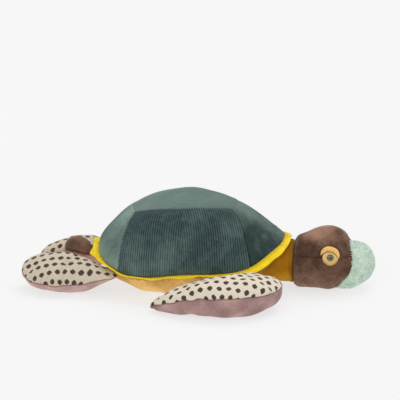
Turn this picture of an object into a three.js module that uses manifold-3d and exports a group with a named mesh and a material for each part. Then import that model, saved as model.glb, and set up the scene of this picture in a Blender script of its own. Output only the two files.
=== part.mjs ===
// A stuffed sea turtle lying on its belly, in millimetres.
// +X points to its nose and +Z up. The origin is on the surface it lies on,
// under the middle of the belly. Its right side is -Y.
import * as THREE from "three";
import Module from "manifold-3d";
import { mergeVertices } from "three/addons/utils/BufferGeometryUtils.js";

const wasm = await Module();
wasm.setup();

// Driving dimensions

const CLOTH = 1.6; // a cover's thickness, lining included
const CLEARANCE = 0.3; // between pieces that are sewn or pressed together
const FLAT_CUT = 0.5; // how deep a form that rests on the floor is cut flat

const SHELL = {
  frontReach: 145, // from the middle to the neck opening
  rearReach: 135,
  halfWidth: 118,
  height: 146,
  rimHeight: 44, // of the seam at the middle of the side
  topFront: 68, // the top panel's front edge
  topRear: 79,
  topHalfWidth: 58,
};
const TAPE = { width: 12, thickness: 2.2 };
const HEAD = { length: 90, height: 93, halfWidth: 41, noseRadius: 35 };
const NECK = { pivotSetback: 26, ballRadius: 50, halfWidth: 35, top: 72, bottom: 7 };
const FRONT_FLIPPER = { length: 153, width: 127, seamHeight: 36, rise: 22, tilt: 0 };
const REAR_FLIPPER = { length: 142, width: 88, seamHeight: 43 };
const TAIL = { length: 52, halfWidth: 15, rise: 12, depth: 11, height: 57 };
const EYE = {
  discRadius: 12.7,
  discThickness: 1.4,
  lidThickness: 1.4,
  beadRadius: 5.2,
  beadHeight: 3.4,
  shankRadius: 1.8,
  shankTail: 3, // how far the shank runs past its washer
  washerRadius: 7,
  washerThickness: 1.2,
};

// Shapes in shares of those dimensions

// The plan of the rim is a superellipse with this exponent.
const RIM_PLAN_POWER_share = 2.3;
// Height of the rim seam by angle from the nose, as shares of the rim height.
const RIM_ANGLES_DEG = [0, 25, 45, 90, 130, 155, 180];
const RIM_HEIGHT_shares = [1.74, 1.52, 1.12, 1, 0.82, 1.08, 1.36];
// How far the tape hangs below level, in degrees, by angle from the nose.
const DROOP_ANGLES_DEG = [0, 36, 62, 90, 180];
const TAPE_DROOP_DEG = [-24, 30, 6, 0, 0];
// Roundness of the dome: it is fullest at the sides and slopes away to the neck.
const DOME_ROUND_shares = { side: 0.55, front: 1, rear: 0.7 };
const BELLY_ROUND_shares = { plan: 3.3, side: 0.8 };
// Corners of the top panel, as shares of its reach ahead or behind and of its half width.
const TOP_CORNER_shares = [[1, 0.5], [-0.04, 1], [-1, 0.56]];
// How far the top panel's edges bow out between its corners.
const TOP_BOW = 5;
// Where the side seams meet the rim, in degrees from the nose.
const RIM_SEAM_DEG = [42.5, 89, 138.5];
// How early the side seams turn to their place at the rim.
const SEAM_SWEEP_POWER = 2.4;

// Head stations from the neck to the nose ball: along, top, bottom and half width.
const HEAD_ALONG_shares = [-0.3, 0, 0.2, 0.41, 0.59, 0.73, 0.88, 1];
const HEAD_TOP_shares = [0.76, 0.785, 0.868, 0.96, 0.99, 0.98, 0.91, 0.755];
const HEAD_BOTTOM_shares = [0.03, 0.02, 0.003, -0.006, -0.006, -0.006, 0, 0.015];
// Roundness of the chin below the nose: 2 is round, 1 is a straight slant.
const CHIN_POWER = 1.4;
const HEAD_WIDTH_shares = [0.87, 0.88, 0.95, 1, 1, 0.97, 0.93, 0.87];
// The wavy seam of the snout, as shares of the head's length.
const SNOUT_SEAM_shares = { place: 0.945, slant: 0.12, wave: 0.078 };
// The eye sits this share along the head, this far round from its crown in degrees.
const EYE_PLACE = { along_share: 0.68, fromCrownDeg: 78 };
// The lid's outer and inner edges, seen from the front, as shares of the disc's radius: forward, up.
const LID_OUTER_shares = [
  [0.99, -0.06], [1.1, 0.25], [1.02, 0.68], [0.74, 1.04], [0.27, 1.28],
  [-0.25, 1.35], [-0.74, 1.18], [-1.07, 0.8], [-1.15, 0.36],
];
const LID_INNER_shares = [
  [0.96, -0.06], [0.77, 0.2], [0.55, 0.44], [0.28, 0.65], [-0.03, 0.72],
  [-0.3, 0.74], [-0.58, 0.65], [-0.88, 0.49], [-1.13, 0.33],
];
// How much of the tape's width lies between the shell and the back of the head.
const HEAD_SETBACK_share = 0.75;

// Flipper outlines from the root: along toward the tip, across outward, height of the seam
// and how strongly the edge is pinched there.
const FRONT_OUTLINE_shares = [
  [0.04, -0.04, 0.97, 2.2],
  [-0.12, -0.05, 0.97, 2.2],
  [-0.265, 0.3, 0.95, 1.2],
  [-0.145, 0.74, 0.95, 0.9],
  [0.208, 0.95, 0.95, 0.8],
  [0.578, 0.905, 0.83, 0.9],
  [0.863, 0.77, 0.5, 1],
  [1, 0.61, 0.28, 1],
  [0.863, 0.46, 0.45, 1],
  [0.55, 0.39, 0.78, 1],
  [0.238, 0.29, 0.95, 1.4],
  [0.124, 0.15, 1, 2],
];
const FRONT_CENTRE_shares = [0.27, 0.614, 0.95];
// The two rear flippers lie differently: the right one broad and tilted, the left one turned out
// with its tip hanging.
const REAR_FORMS = {
  right: {
    rise: 17,
    tilt: 16,
    centre_shares: [0.52, -0.24, 0.7],
    outline_shares: [
      [-0.056, -0.11, 0.77, 2.2],
      [0, 0.14, 0.72, 2.2],
      [0.19, 0.12, 0.56, 1.2],
      [0.4, 0.16, 0.44, 0.9],
      [0.66, 0.18, 0.42, 0.9],
      [0.86, 0, 0.44, 0.9],
      [0.975, -0.29, 0.58, 0.9],
      [0.98, -0.55, 0.72, 0.9],
      [0.873, -0.7, 0.88, 0.9],
      [0.648, -0.72, 1, 0.9],
      [0.415, -0.62, 1, 1],
      [0.204, -0.386, 0.94, 1.4],
      [0.063, -0.2, 0.86, 2],
    ],
  },
  left: {
    rise: 20,
    tilt: 16,
    centre_shares: [0.52, -0.23, 0.7],
    outline_shares: [
      [-0.056, -0.11, 0.77, 2.2],
      [0, 0.14, 0.72, 2.2],
      [0.19, 0.18, 0.56, 1.2],
      [0.4, 0.22, 0.5, 0.9],
      [0.62, 0.1, 0.5, 0.9],
      [0.78, -0.15, 0.5, 0.9],
      [0.86, -0.41, 0.54, 0.9],
      [0.78, -0.6, 0.72, 0.9],
      [0.62, -0.69, 0.9, 0.9],
      [0.42, -0.62, 1, 1],
      [0.204, -0.386, 0.94, 1.4],
      [0.063, -0.2, 0.86, 2],
    ],
  },
};
const TAIL_OUTLINE_shares = [
  [-0.1, 0.55, 0.84, 1.6],
  [0.3, 0.9, 0.9, 0.8],
  [0.65, 1, 0.98, 0.6],
  [0.9, 0.62, 1, 1],
  [1, 0, 1, 1],
];
const TAIL_CENTRE_shares = [0.62, 0, 1];
// Where the limbs are sewn to the rim, in degrees from the nose.
const FRONT_ROOT_DEG = 38;
const REAR_ROOT_DEG = 143;
// The left front flipper is sewn on a little farther back.
const FRONT_SETBACK = { right: 0, left: 14 };
// How far the crease between shell and limb opens from upright.
const LIMB_CREASE_DEG = 38;
// How much of the edge's pinch the underside keeps: the front flippers lie full on the floor.
const UNDER_PINCH_shares = { front: 0.5, rear: 1, tail: 1 };

// Counts of facets
const SECTOR_COLUMNS = [5, 5, 6, 5, 5, 8];
const TOP_ROWS = 3;
const SIDE_ROWS = 5;
const BELLY_ROWS = 5;
const LIMB_COLUMNS = 20;
const LIMB_ROWS = 4;
const TAIL_COLUMNS = 14;
const HEAD_COLUMNS = 20;
const HEAD_ROWS = 7;
const SNOUT_ROWS = 5;
const NECK_ROWS = 4;
const ROUND_COLUMNS = 16;
const BEAD_ROWS = 4;
const BALL_ROWS = 12;
const BALL_COLUMNS = 36;
const LID_STEPS = 12;

const RIGHT = -1;
const LEFT = 1;
const SIDES = [["right", RIGHT], ["left", LEFT]];
const QUARTER_TURN = Math.PI / 2;
const HALF_TURN = Math.PI;
const FULL_TURN = 2 * Math.PI;
const WELD = 0.001;
const TIE_share = 1.000001; // within this, the two diagonals of a cell bulge alike

const COLOURS = {
  corduroy: 0x24433f,
  corduroyTop: 0x33524c,
  tape: 0xe2ad0d,
  mustard: 0xb98a1e,
  brown: 0x4a2f28,
  mint: 0x8fbfa0,
  print: 0xc3b291,
  mauve: 0x8f6a69,
  felt: 0xd39a2a,
  lid: 0xdfae3a,
  bead: 0x17120f,
  filling: 0xf1efe8,
  washer: 0xe6e6e2,
};

// Small helpers

const radians = THREE.MathUtils.degToRad;
const SMALL_TURN = radians(1); // between the two points that a direction is taken from
const HALF_share = 0.5;
const UP = new THREE.Vector3(0, 0, 1);
const lerp = THREE.MathUtils.lerp;

// A smooth curve through table values, read at one place.
function tableValue(places, values, place) {
  return new THREE.CubicInterpolant(places, values, 1, [0]).evaluate(place)[0];
}

// A surface given by rings of points, where a ring of one point is a pole. Each four-sided cell
// is split along the diagonal that bulges away from the middle, so nested surfaces are split alike.
function ringsGeometry(rings, middle, joined) {
  const corners = [];
  const bulge = (p, q) => p.clone().lerp(q, HALF_share).distanceTo(middle);
  const triangle = (a, b, c) => corners.push(...a.toArray(), ...b.toArray(), ...c.toArray());
  const count = joined ? rings.length : rings.length - 1;
  for (let r = 0; r < count; r += 1) {
    const low = rings[r];
    const high = rings[(r + 1) % rings.length];
    const steps = Math.max(low.length, high.length);
    for (let i = 0; i < steps; i += 1) {
      const a = low[i % low.length];
      const b = low[(i + 1) % low.length];
      const c = high[(i + 1) % high.length];
      const d = high[i % high.length];
      const across = bulge(b, d) > bulge(a, c) * TIE_share;
      triangle(a, b, across ? d : c);
      triangle(across ? b : a, c, d);
    }
  }
  return closedGeometry(corners);
}

// The middle of a ring, as a ring of one point.
function endPole(ring) {
  const pole = new THREE.Vector3();
  ring.forEach((point) => pole.add(point));
  return [pole.divideScalar(ring.length)];
}

// Welds loose triangles into one closed body with its faces out.
function closedGeometry(corners) {
  const loose = new THREE.BufferGeometry();
  loose.setAttribute("position", new THREE.Float32BufferAttribute(corners, 3));
  const welded = mergeVertices(loose, WELD);
  const index = [];
  for (let i = 0; i < welded.index.count; i += 3) {
    const [a, b, c] = [0, 1, 2].map((k) => welded.index.getX(i + k));
    if (a !== b && b !== c && c !== a) index.push(a, b, c);
  }
  if (signedVolume(welded.attributes.position, index) < 0) index.reverse();
  welded.setIndex(index);
  return welded;
}

function signedVolume(position, index) {
  const [a, b, c] = [new THREE.Vector3(), new THREE.Vector3(), new THREE.Vector3()];
  let sum = 0;
  for (let i = 0; i < index.length; i += 3) {
    a.fromBufferAttribute(position, index[i]);
    b.fromBufferAttribute(position, index[i + 1]);
    c.fromBufferAttribute(position, index[i + 2]);
    sum += a.dot(b.cross(c));
  }
  return sum;
}

function toSolid(geometry) {
  const vertProperties = Float32Array.from(geometry.attributes.position.array);
  const triVerts = Uint32Array.from(geometry.index.array);
  return new wasm.Manifold(new wasm.Mesh({ numProp: 3, vertProperties, triVerts }));
}

function fromSolid(solid) {
  const mesh = solid.getMesh();
  const geometry = new THREE.BufferGeometry();
  geometry.setAttribute("position", new THREE.BufferAttribute(mesh.vertProperties, 3));
  geometry.setIndex(new THREE.BufferAttribute(mesh.triVerts, 1));
  return geometry;
}

// A closed geometry from a three.js class, merged so that only position is left.
function plain(geometry) {
  geometry.deleteAttribute("normal");
  geometry.deleteAttribute("uv");
  const loose = geometry.index ? geometry.toNonIndexed() : geometry;
  return closedGeometry(Array.from(loose.attributes.position.array));
}

function addPiece(parent, name, geometry, color, roughness) {
  const mesh = new THREE.Mesh(geometry, new THREE.MeshStandardMaterial({ color, roughness, metalness: 0 }));
  mesh.name = name;
  parent.add(mesh);
  return mesh;
}

const CLOTH_ROUGHNESS = 0.95;
const BEAD_ROUGHNESS = 0.15;

// The form of the body

const fromNoseDeg = (angle) => Math.abs(THREE.MathUtils.radToDeg(Math.atan2(Math.sin(angle), Math.cos(angle))));

function rimRadius(angle) {
  const reach = Math.cos(angle) > 0 ? SHELL.frontReach : SHELL.rearReach;
  const along = Math.abs(Math.cos(angle)) / reach;
  const across = Math.abs(Math.sin(angle)) / SHELL.halfWidth;
  return (along ** RIM_PLAN_POWER_share + across ** RIM_PLAN_POWER_share) ** (-1 / RIM_PLAN_POWER_share);
}

function rimHeight(angle) {
  return SHELL.rimHeight * tableValue(RIM_ANGLES_DEG, RIM_HEIGHT_shares, fromNoseDeg(angle));
}

function rimPoint(angle) {
  const radius = rimRadius(angle);
  return new THREE.Vector3(radius * Math.cos(angle), radius * Math.sin(angle), rimHeight(angle));
}

// The direction in plan that points straight out of the rim.
function rimOutward(angle) {
  const tangent = rimPoint(angle + SMALL_TURN).sub(rimPoint(angle - SMALL_TURN));
  return new THREE.Vector3(tangent.y, -tangent.x, 0).normalize();
}

// Half the height of the gap in the rim that holds the tape.
const RIM_GAP = TAPE.thickness / 2 + CLEARANCE;

function domeHeight(angle, reachShare, inset) {
  const ahead = Math.cos(angle) ** 2;
  const end = Math.cos(angle) > 0 ? DOME_ROUND_shares.front : DOME_ROUND_shares.rear;
  const round = lerp(DOME_ROUND_shares.side, end, ahead);
  const base = rimHeight(angle) + RIM_GAP;
  const fall = Math.max(0, 1 - reachShare ** 2) ** round;
  return base + (SHELL.height - inset - base) * fall;
}

function bellyHeight(angle, reachShare, inset) {
  const base = rimHeight(angle) - RIM_GAP;
  const fall = Math.max(0, 1 - reachShare ** BELLY_ROUND_shares.plan) ** BELLY_ROUND_shares.side;
  return Math.max(inset, base - (base - inset + FLAT_CUT) * fall);
}

// The top panel's corners and the angles of its seams, once round from the right front corner.
function seamCorners() {
  const halves = TOP_CORNER_shares.map(([ahead, across], i) => ({
    x: ahead * (ahead > 0 ? SHELL.topFront : SHELL.topRear),
    y: across * SHELL.topHalfWidth,
    rim: radians(RIM_SEAM_DEG[i]),
  }));
  const right = halves.map(({ x, y, rim }) => ({ x, y: -y, rim: -rim }));
  const left = halves.map(({ x, y, rim }) => ({ x, y, rim: rim - FULL_TURN }));
  return [...right, ...left.reverse()];
}

const CORNERS = seamCorners();
const BODY_MIDDLE = new THREE.Vector3(0, 0, SHELL.rimHeight);

// One column of the body's grid: its end at the top panel and its end at the rim.
function column(sector, share) {
  const from = CORNERS[sector];
  const to = CORNERS[(sector + 1) % CORNERS.length];
  const wrap = sector === CORNERS.length - 1 ? FULL_TURN : 0;
  const top = new THREE.Vector2(lerp(from.x, to.x, share), lerp(from.y, to.y, share));
  const outward = new THREE.Vector2(from.y - to.y, to.x - from.x).normalize();
  top.addScaledVector(outward, 4 * TOP_BOW * share * (1 - share));
  return { top, rim: lerp(from.rim, to.rim - wrap, share) };
}

function bodyColumns() {
  return SECTOR_COLUMNS.flatMap((count, sector) =>
    Array.from({ length: count }, (_, i) => column(sector, i / count)));
}

// A point of the top panel, from its middle at 0 to its edge at 1.
function topPoint({ top }, share, inset) {
  const angle = Math.atan2(top.y, top.x);
  const shrink = 1 - inset / rimRadius(angle);
  const reachShare = (share * top.length()) / rimRadius(angle);
  const height = domeHeight(angle, reachShare, inset);
  return new THREE.Vector3(top.x * share * shrink, top.y * share * shrink, height);
}

// A point of a side panel, from the top panel's edge at 0 to the rim at 1.
function sidePoint({ top, rim }, share, inset) {
  const topAngle = Math.atan2(top.y, top.x);
  const turn = Math.atan2(Math.sin(rim - topAngle), Math.cos(rim - topAngle));
  const angle = topAngle + turn * (1 - (1 - share) ** SEAM_SWEEP_POWER);
  const start = Math.asin(top.length() / rimRadius(topAngle));
  const reachShare = Math.sin(lerp(start, QUARTER_TURN, share));
  const radius = (rimRadius(angle) - inset) * reachShare;
  const height = domeHeight(angle, reachShare, inset);
  return new THREE.Vector3(radius * Math.cos(angle), radius * Math.sin(angle), height);
}

// A point of the belly, from its middle at 0 to the rim at 1.
function bellyPoint({ rim }, share, inset) {
  const reachShare = Math.sin(share * QUARTER_TURN);
  const radius = (rimRadius(rim) - inset) * reachShare;
  return new THREE.Vector3(radius * Math.cos(rim), radius * Math.sin(rim), bellyHeight(rim, reachShare, inset));
}

const shares = (count, from = 0, to = 1) =>
  Array.from({ length: count + 1 }, (_, i) => lerp(from, to, i / count));

function surfaceRings(point, columns, rowShares, inset) {
  return rowShares.map((share) => {
    if (share === 0) return [point(columns[0], share, inset)];
    return columns.map((entry) => point(entry, share, inset));
  });
}

// The whole body grown or shrunk by an inset, closed.
function bodyGeometry(inset) {
  const columns = bodyColumns();
  return ringsGeometry([
    ...surfaceRings(topPoint, columns, shares(TOP_ROWS), inset),
    ...surfaceRings(sidePoint, columns, shares(SIDE_ROWS).slice(1), inset),
    ...surfaceRings(bellyPoint, columns, shares(BELLY_ROWS).reverse(), inset),
  ], BODY_MIDDLE);
}

// Shell, belly and tape

function topPanelGeometry() {
  const columns = bodyColumns();
  const edge = 1 - CLEARANCE / SHELL.topHalfWidth;
  const outer = surfaceRings(topPoint, columns, shares(TOP_ROWS, 0, edge), 0);
  const inner = surfaceRings(topPoint, columns, shares(TOP_ROWS, 0, edge), CLOTH);
  return ringsGeometry([...outer, ...inner.reverse()], BODY_MIDDLE);
}

// A side panel as a slab: its outer and inner grids, stitched along all four edges.
function sidePanelGeometry(sector) {
  const count = SECTOR_COLUMNS[sector];
  const edge = CLEARANCE / rimRadius(CORNERS[sector].rim);
  const columns = shares(count, edge, 1 - edge).map((share) => column(sector, share));
  const rowShares = shares(SIDE_ROWS, CLEARANCE / SHELL.halfWidth, 1);
  const grid = (inset) => rowShares.map((share) => columns.map((entry) => sidePoint(entry, share, inset)));
  const [outer, inner] = [grid(0), grid(CLOTH)];
  const loops = outer.map((row, i) => [...row, ...inner[i].slice().reverse()]);
  return ringsGeometry([foldedLoop(loops[0]), ...loops, foldedLoop(loops.at(-1))], BODY_MIDDLE);
}

// Closes the end of a slab: its loop folded over, so that its inner row lies on its outer row.
function foldedLoop(loop) {
  const half = loop.length / 2;
  return loop.map((point, i) => (i < half ? point : loop[loop.length - 1 - i]));
}

function bellyGeometry() {
  const columns = bodyColumns();
  const outer = surfaceRings(bellyPoint, columns, shares(BELLY_ROWS), 0);
  const inner = surfaceRings(bellyPoint, columns, shares(BELLY_ROWS), CLOTH);
  return ringsGeometry([...outer, ...inner.reverse()], BODY_MIDDLE);
}

// A band swept round the rim, between two distances out and two heights off the seam. It droops
// as the tape does. Where it opens, its upper edge is level and that much farther out.
function rimBandGeometry({ inner, outer, below, above, opening }) {
  const sections = bodyColumns().map(({ rim }) => {
    const seam = rimPoint(rim);
    const out = rimOutward(rim);
    const droop = radians(tableValue(DROOP_ANGLES_DEG, TAPE_DROOP_DEG, fromNoseDeg(rim)));
    const lean = out.clone().multiplyScalar(Math.cos(droop)).setZ(-Math.sin(droop));
    const square = out.clone().multiplyScalar(Math.sin(droop)).setZ(Math.cos(droop));
    const level = (distance, lift) => seam.clone().addScaledVector(out, distance).setZ(seam.z + lift);
    const free = (lift) => seam.clone().addScaledVector(lean, outer).addScaledVector(square, lift);
    return [
      level(inner, below),
      level(0, below),
      free(below),
      opening ? level(outer + opening, above) : free(above),
      level(0, above),
      level(inner, above),
    ];
  });
  return ringsGeometry(sections, BODY_MIDDLE, true);
}

function tapeGeometry() {
  const half = TAPE.thickness / 2;
  return rimBandGeometry({ inner: -CLOTH, outer: TAPE.width, below: -half, above: half });
}

// What the limbs are cut by: the body, the tape, and the room above the tape that a lifted
// limb needs, which opens outward.
function bodyCutter() {
  const body = toSolid(bodyGeometry(-CLEARANCE));
  const half = TAPE.thickness / 2 + CLEARANCE;
  const outer = TAPE.width + CLEARANCE;
  const tape = rimBandGeometry({ inner: -CLOTH, outer, below: -half, above: half });
  const above = SHELL.rimHeight;
  const opening = above * Math.tan(radians(LIMB_CREASE_DEG));
  const crease = rimBandGeometry({ inner: -TAPE.width, outer, below: -half, above, opening });
  return body.add(toSolid(crease)).add(toSolid(tape));
}

const BODY_CUTTER = bodyCutter();

// Pillow forms: the flippers and the tail

// A closed outline sampled evenly, with the pinch of the edge at each place.
function outlineSamples(points, pinches, count) {
  const places = new THREE.CatmullRomCurve3(points, true, "centripetal");
  const pinchPoints = points.map((point, i) => new THREE.Vector3(pinches[i], i % 2, 0));
  const edge = new THREE.CatmullRomCurve3(pinchPoints, true, "catmullrom");
  return Array.from({ length: count }, (_, i) => {
    const share = i / count;
    return { seam: places.getPoint(share), pinch: edge.getPoint(share).x };
  });
}

// One point of a pillow, from its middle at 0 to its seam at 1.
function pillowPoint(form, { seam, pinch }, share, upper, inset) {
  const angle = share * QUARTER_TURN;
  const spoke = seam.clone().sub(form.centre);
  const reach = Math.max(0, 1 - inset / spoke.length()) * Math.sin(angle);
  const point = form.centre.clone().addScaledVector(spoke, reach);
  const bulge = upper ? form.rise - inset : inset - form.depthAt(point.z);
  const power = upper ? pinch : pinch * form.underPinch;
  return point.addScaledVector(form.normal, bulge * Math.cos(angle) ** power);
}

function pillowRings(form, upper, inset, lift) {
  return shares(LIMB_ROWS).map((share) => {
    const samples = share === 0 ? form.samples.slice(0, 1) : form.samples;
    return samples.map((sample) => {
      const point = pillowPoint(form, sample, share, upper, inset).addScaledVector(form.normal, lift);
      return point.setZ(Math.max(inset, point.z));
    });
  });
}

function pillowCover(form, upper) {
  const lift = upper ? CLEARANCE / 2 : -CLEARANCE / 2;
  const outer = pillowRings(form, upper, 0, lift);
  const inner = pillowRings(form, upper, CLOTH, lift);
  return ringsGeometry([...outer, ...inner.reverse()], form.centre);
}

function pillowStuffing(form) {
  const inset = CLOTH + CLEARANCE;
  const upper = pillowRings(form, true, inset, 0);
  const lower = pillowRings(form, false, inset, 0);
  return ringsGeometry([...upper, ...lower.slice(0, -1).reverse()], form.centre);
}

// Cuts a limb's piece by the body and its tape.
const cutByBody = (geometry) => fromSolid(toSolid(geometry).subtract(BODY_CUTTER));

function addPillow(parent, name, form, colours) {
  addPiece(parent, `${name}_top_cover`, cutByBody(pillowCover(form, true)), colours.top, CLOTH_ROUGHNESS);
  addPiece(parent, `${name}_under_cover`, cutByBody(pillowCover(form, false)), colours.under, CLOTH_ROUGHNESS);
  addPiece(parent, `${name}_stuffing`, cutByBody(pillowStuffing(form)), COLOURS.filling, CLOTH_ROUGHNESS);
}

// A flipper laid out from its root: along it, across it and up.
function flipperForm({ outline, centre: centreShares, size, underPinch, root, side }) {
  const place = ([along, across, height]) => new THREE.Vector3(
    root.x - along * size.length,
    side * (Math.abs(root.y) + across * size.width),
    height * size.seamHeight,
  );
  const tilt = radians(size.tilt);
  const centre = place(centreShares);
  const fullDepth = (centre.z + FLAT_CUT) / Math.cos(tilt);
  return {
    centre,
    normal: new THREE.Vector3(0, side * Math.sin(tilt), Math.cos(tilt)),
    samples: outlineSamples(outline.map(place), outline.map((entry) => entry[3]), LIMB_COLUMNS),
    rise: size.rise,
    underPinch,
    depthAt: (height) => (fullDepth * height) / centre.z,
  };
}

function addFlippers(parent) {
  const colours = { top: COLOURS.print, under: COLOURS.mauve };
  for (const [word, side] of SIDES) {
    const frontRoot = rimPoint(side * radians(FRONT_ROOT_DEG));
    frontRoot.x -= FRONT_SETBACK[word];
    const front = flipperForm({
      outline: FRONT_OUTLINE_shares,
      centre: FRONT_CENTRE_shares,
      size: FRONT_FLIPPER,
      underPinch: UNDER_PINCH_shares.front,
      root: frontRoot,
      side,
    });
    addPillow(parent, `front_${word}_flipper`, front, colours);
    const { rise, tilt, centre_shares: centre, outline_shares: outline } = REAR_FORMS[word];
    const rear = flipperForm({
      outline,
      centre,
      size: { ...REAR_FLIPPER, rise, tilt },
      underPinch: UNDER_PINCH_shares.rear,
      root: rimPoint(side * radians(REAR_ROOT_DEG)),
      side,
    });
    addPillow(parent, `rear_${word}_flipper`, rear, colours);
  }
}

function addTail(parent) {
  const place = (side) => ([along, across, height]) => new THREE.Vector3(
    -SHELL.rearReach - along * TAIL.length,
    side * across * TAIL.halfWidth,
    height * TAIL.height,
  );
  const tip = TAIL_OUTLINE_shares.length - 1;
  const left = TAIL_OUTLINE_shares.slice(0, tip).reverse();
  const points = [...TAIL_OUTLINE_shares.map(place(RIGHT)), ...left.map(place(LEFT))];
  const pinches = [...TAIL_OUTLINE_shares, ...left].map((entry) => entry[3]);
  const form = {
    centre: place(RIGHT)(TAIL_CENTRE_shares),
    normal: UP.clone(),
    samples: outlineSamples(points, pinches, TAIL_COLUMNS),
    rise: TAIL.rise,
    underPinch: UNDER_PINCH_shares.tail,
    depthAt: () => TAIL.depth,
  };
  addPillow(parent, "tail", form, { top: COLOURS.brown, under: COLOURS.brown });
}

// Neck and head

// Where the head is sewn to the neck, just ahead of the shell.
const HEAD_START = SHELL.frontReach + TAPE.width * HEAD_SETBACK_share;
const NOSE_CENTRE = HEAD_START + HEAD.length;
const NOSE_TIP = NOSE_CENTRE + HEAD.noseRadius;
const HEAD_MIDDLE = new THREE.Vector3(HEAD_START + HEAD.length / 2, 0, HEAD.height / 2);
const NECK_PIVOT = new THREE.Vector3(SHELL.frontReach - NECK.pivotSetback, 0, (NECK.top + NECK.bottom) / 2);

// Top, bottom and half width of the head's section at one place.
function headSection(x, inset) {
  const share = (x - HEAD_START) / HEAD.length;
  const at = (values) => tableValue(HEAD_ALONG_shares, values, Math.min(1, share));
  const beyond = Math.max(0, x - NOSE_CENTRE) / (HEAD.noseRadius - inset);
  const round = Math.sqrt(Math.max(0, 1 - beyond ** 2));
  const chin = Math.max(0, 1 - beyond ** CHIN_POWER) ** (1 / CHIN_POWER);
  const top = HEAD.height * at(HEAD_TOP_shares) - inset;
  const bottom = HEAD.height * at(HEAD_BOTTOM_shares) + inset;
  const middle = (top + bottom) / 2;
  const halfWidth = (HEAD.halfWidth * at(HEAD_WIDTH_shares) - inset) * round;
  const half = (top - bottom) / 2;
  return { middle, halfHeight: half * round, depth: half * chin, halfWidth };
}

// A point of a section. Below its middle it is as deep as its depth, where it has one.
function sectionPoint(x, { middle, halfHeight, depth = halfHeight, halfWidth }, turn, floor) {
  const up = Math.cos(turn);
  const z = Math.max(floor, middle + (up < 0 ? depth : halfHeight) * up);
  return new THREE.Vector3(x, halfWidth * Math.sin(turn), z);
}

function snoutSeam(turn) {
  const { place, slant, wave } = SNOUT_SEAM_shares;
  const share = place + slant * Math.cos(turn) - wave * Math.cos(2 * turn);
  return HEAD_START + share * HEAD.length;
}

const turns = (count) => Array.from({ length: count }, (_, i) => (i / count) * FULL_TURN);

function headRings(rowShares, inset, seamShift) {
  const back = HEAD_START + HEAD_ALONG_shares[0] * HEAD.length;
  return rowShares.map((share) => turns(HEAD_COLUMNS).map((turn) => {
    const x = lerp(back, snoutSeam(turn) + seamShift, share);
    return sectionPoint(x, headSection(x, inset), turn, inset);
  }));
}

function snoutRings(rowShares, inset, seamShift) {
  return rowShares.map((share) => {
    const ring = turns(HEAD_COLUMNS).map((turn) => {
      const x = lerp(snoutSeam(turn) + seamShift, NOSE_TIP - inset, 1 - (1 - share) ** 2);
      return sectionPoint(x, headSection(x, inset), turn, inset);
    });
    return share === 1 ? ring.slice(0, 1) : ring;
  });
}

function ballSolid(radius) {
  const ball = plain(new THREE.SphereGeometry(radius, BALL_COLUMNS, BALL_ROWS).rotateX(QUARTER_TURN));
  ball.translate(NECK_PIVOT.x, NECK_PIVOT.y, NECK_PIVOT.z);
  return toSolid(ball);
}

function neckRings(inset) {
  const back = NECK_PIVOT.x - NECK.ballRadius;
  const rows = shares(NECK_ROWS, back, back + 2 * NECK.ballRadius);
  const middle = (NECK.top + NECK.bottom) / 2;
  const section = { middle, halfHeight: (NECK.top - NECK.bottom) / 2 - inset, halfWidth: NECK.halfWidth - inset };
  return rows.map((x) => turns(HEAD_COLUMNS).map((turn) => sectionPoint(x, section, turn, inset)));
}

function addNeck(parent) {
  const ball = ballSolid(NECK.ballRadius);
  const trim = (geometry) => fromSolid(toSolid(geometry).intersect(ball).subtract(BODY_CUTTER));
  const cover = ringsGeometry([...neckRings(0), ...neckRings(CLOTH).reverse()], NECK_PIVOT, true);
  const core = neckRings(CLOTH + CLEARANCE);
  const stuffing = ringsGeometry([endPole(core[0]), ...core, endPole(core.at(-1))], NECK_PIVOT);
  addPiece(parent, "neck_cover", trim(cover), COLOURS.mustard, CLOTH_ROUGHNESS);
  addPiece(parent, "neck_stuffing", trim(stuffing), COLOURS.filling, CLOTH_ROUGHNESS);
}

// The frame of an eye on the head: its middle, and the direction that it looks in as local Z.
function eyeFrame(side) {
  const x = HEAD_START + EYE_PLACE.along_share * HEAD.length;
  const turn = side * radians(EYE_PLACE.fromCrownDeg);
  const point = (along, angle) => sectionPoint(along, headSection(along, 0), angle, 0);
  const forward = point(x + CLOTH, turn).sub(point(x - CLOTH, turn));
  const round = point(x, turn + SMALL_TURN).sub(point(x, turn - SMALL_TURN));
  const out = forward.cross(round).normalize();
  const frame = new THREE.Object3D();
  frame.position.copy(point(x, turn));
  frame.quaternion.setFromUnitVectors(UP, out);
  const up = UP.clone().applyQuaternion(frame.quaternion.clone().invert());
  frame.rotateZ(Math.atan2(-up.x, up.y));
  frame.updateMatrix();
  return frame;
}

const washerDepth = () => {
  const curve = EYE.washerRadius ** 2 / (2 * HEAD.halfWidth);
  return CLOTH + CLEARANCE + curve;
};

function roundPlug(radius, from, to) {
  const plug = new THREE.CylinderGeometry(radius, radius, to - from, ROUND_COLUMNS);
  return plain(plug.rotateX(QUARTER_TURN).translate(0, 0, (from + to) / 2));
}

// The rooms that an eye needs in the head: the shank's hole and the washer's pocket.
function eyeRooms(side) {
  const depth = washerDepth();
  const end = depth + EYE.washerThickness + EYE.shankTail + CLEARANCE;
  const hole = roundPlug(EYE.shankRadius + CLEARANCE, -end, EYE.discRadius);
  const pocketFloor = depth + EYE.washerThickness + CLEARANCE;
  const pocket = roundPlug(EYE.washerRadius + CLEARANCE, -pocketFloor, EYE.discRadius);
  const { matrix } = eyeFrame(side);
  return { hole: toSolid(hole.applyMatrix4(matrix)), pocket: toSolid(pocket.applyMatrix4(matrix)) };
}

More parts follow.
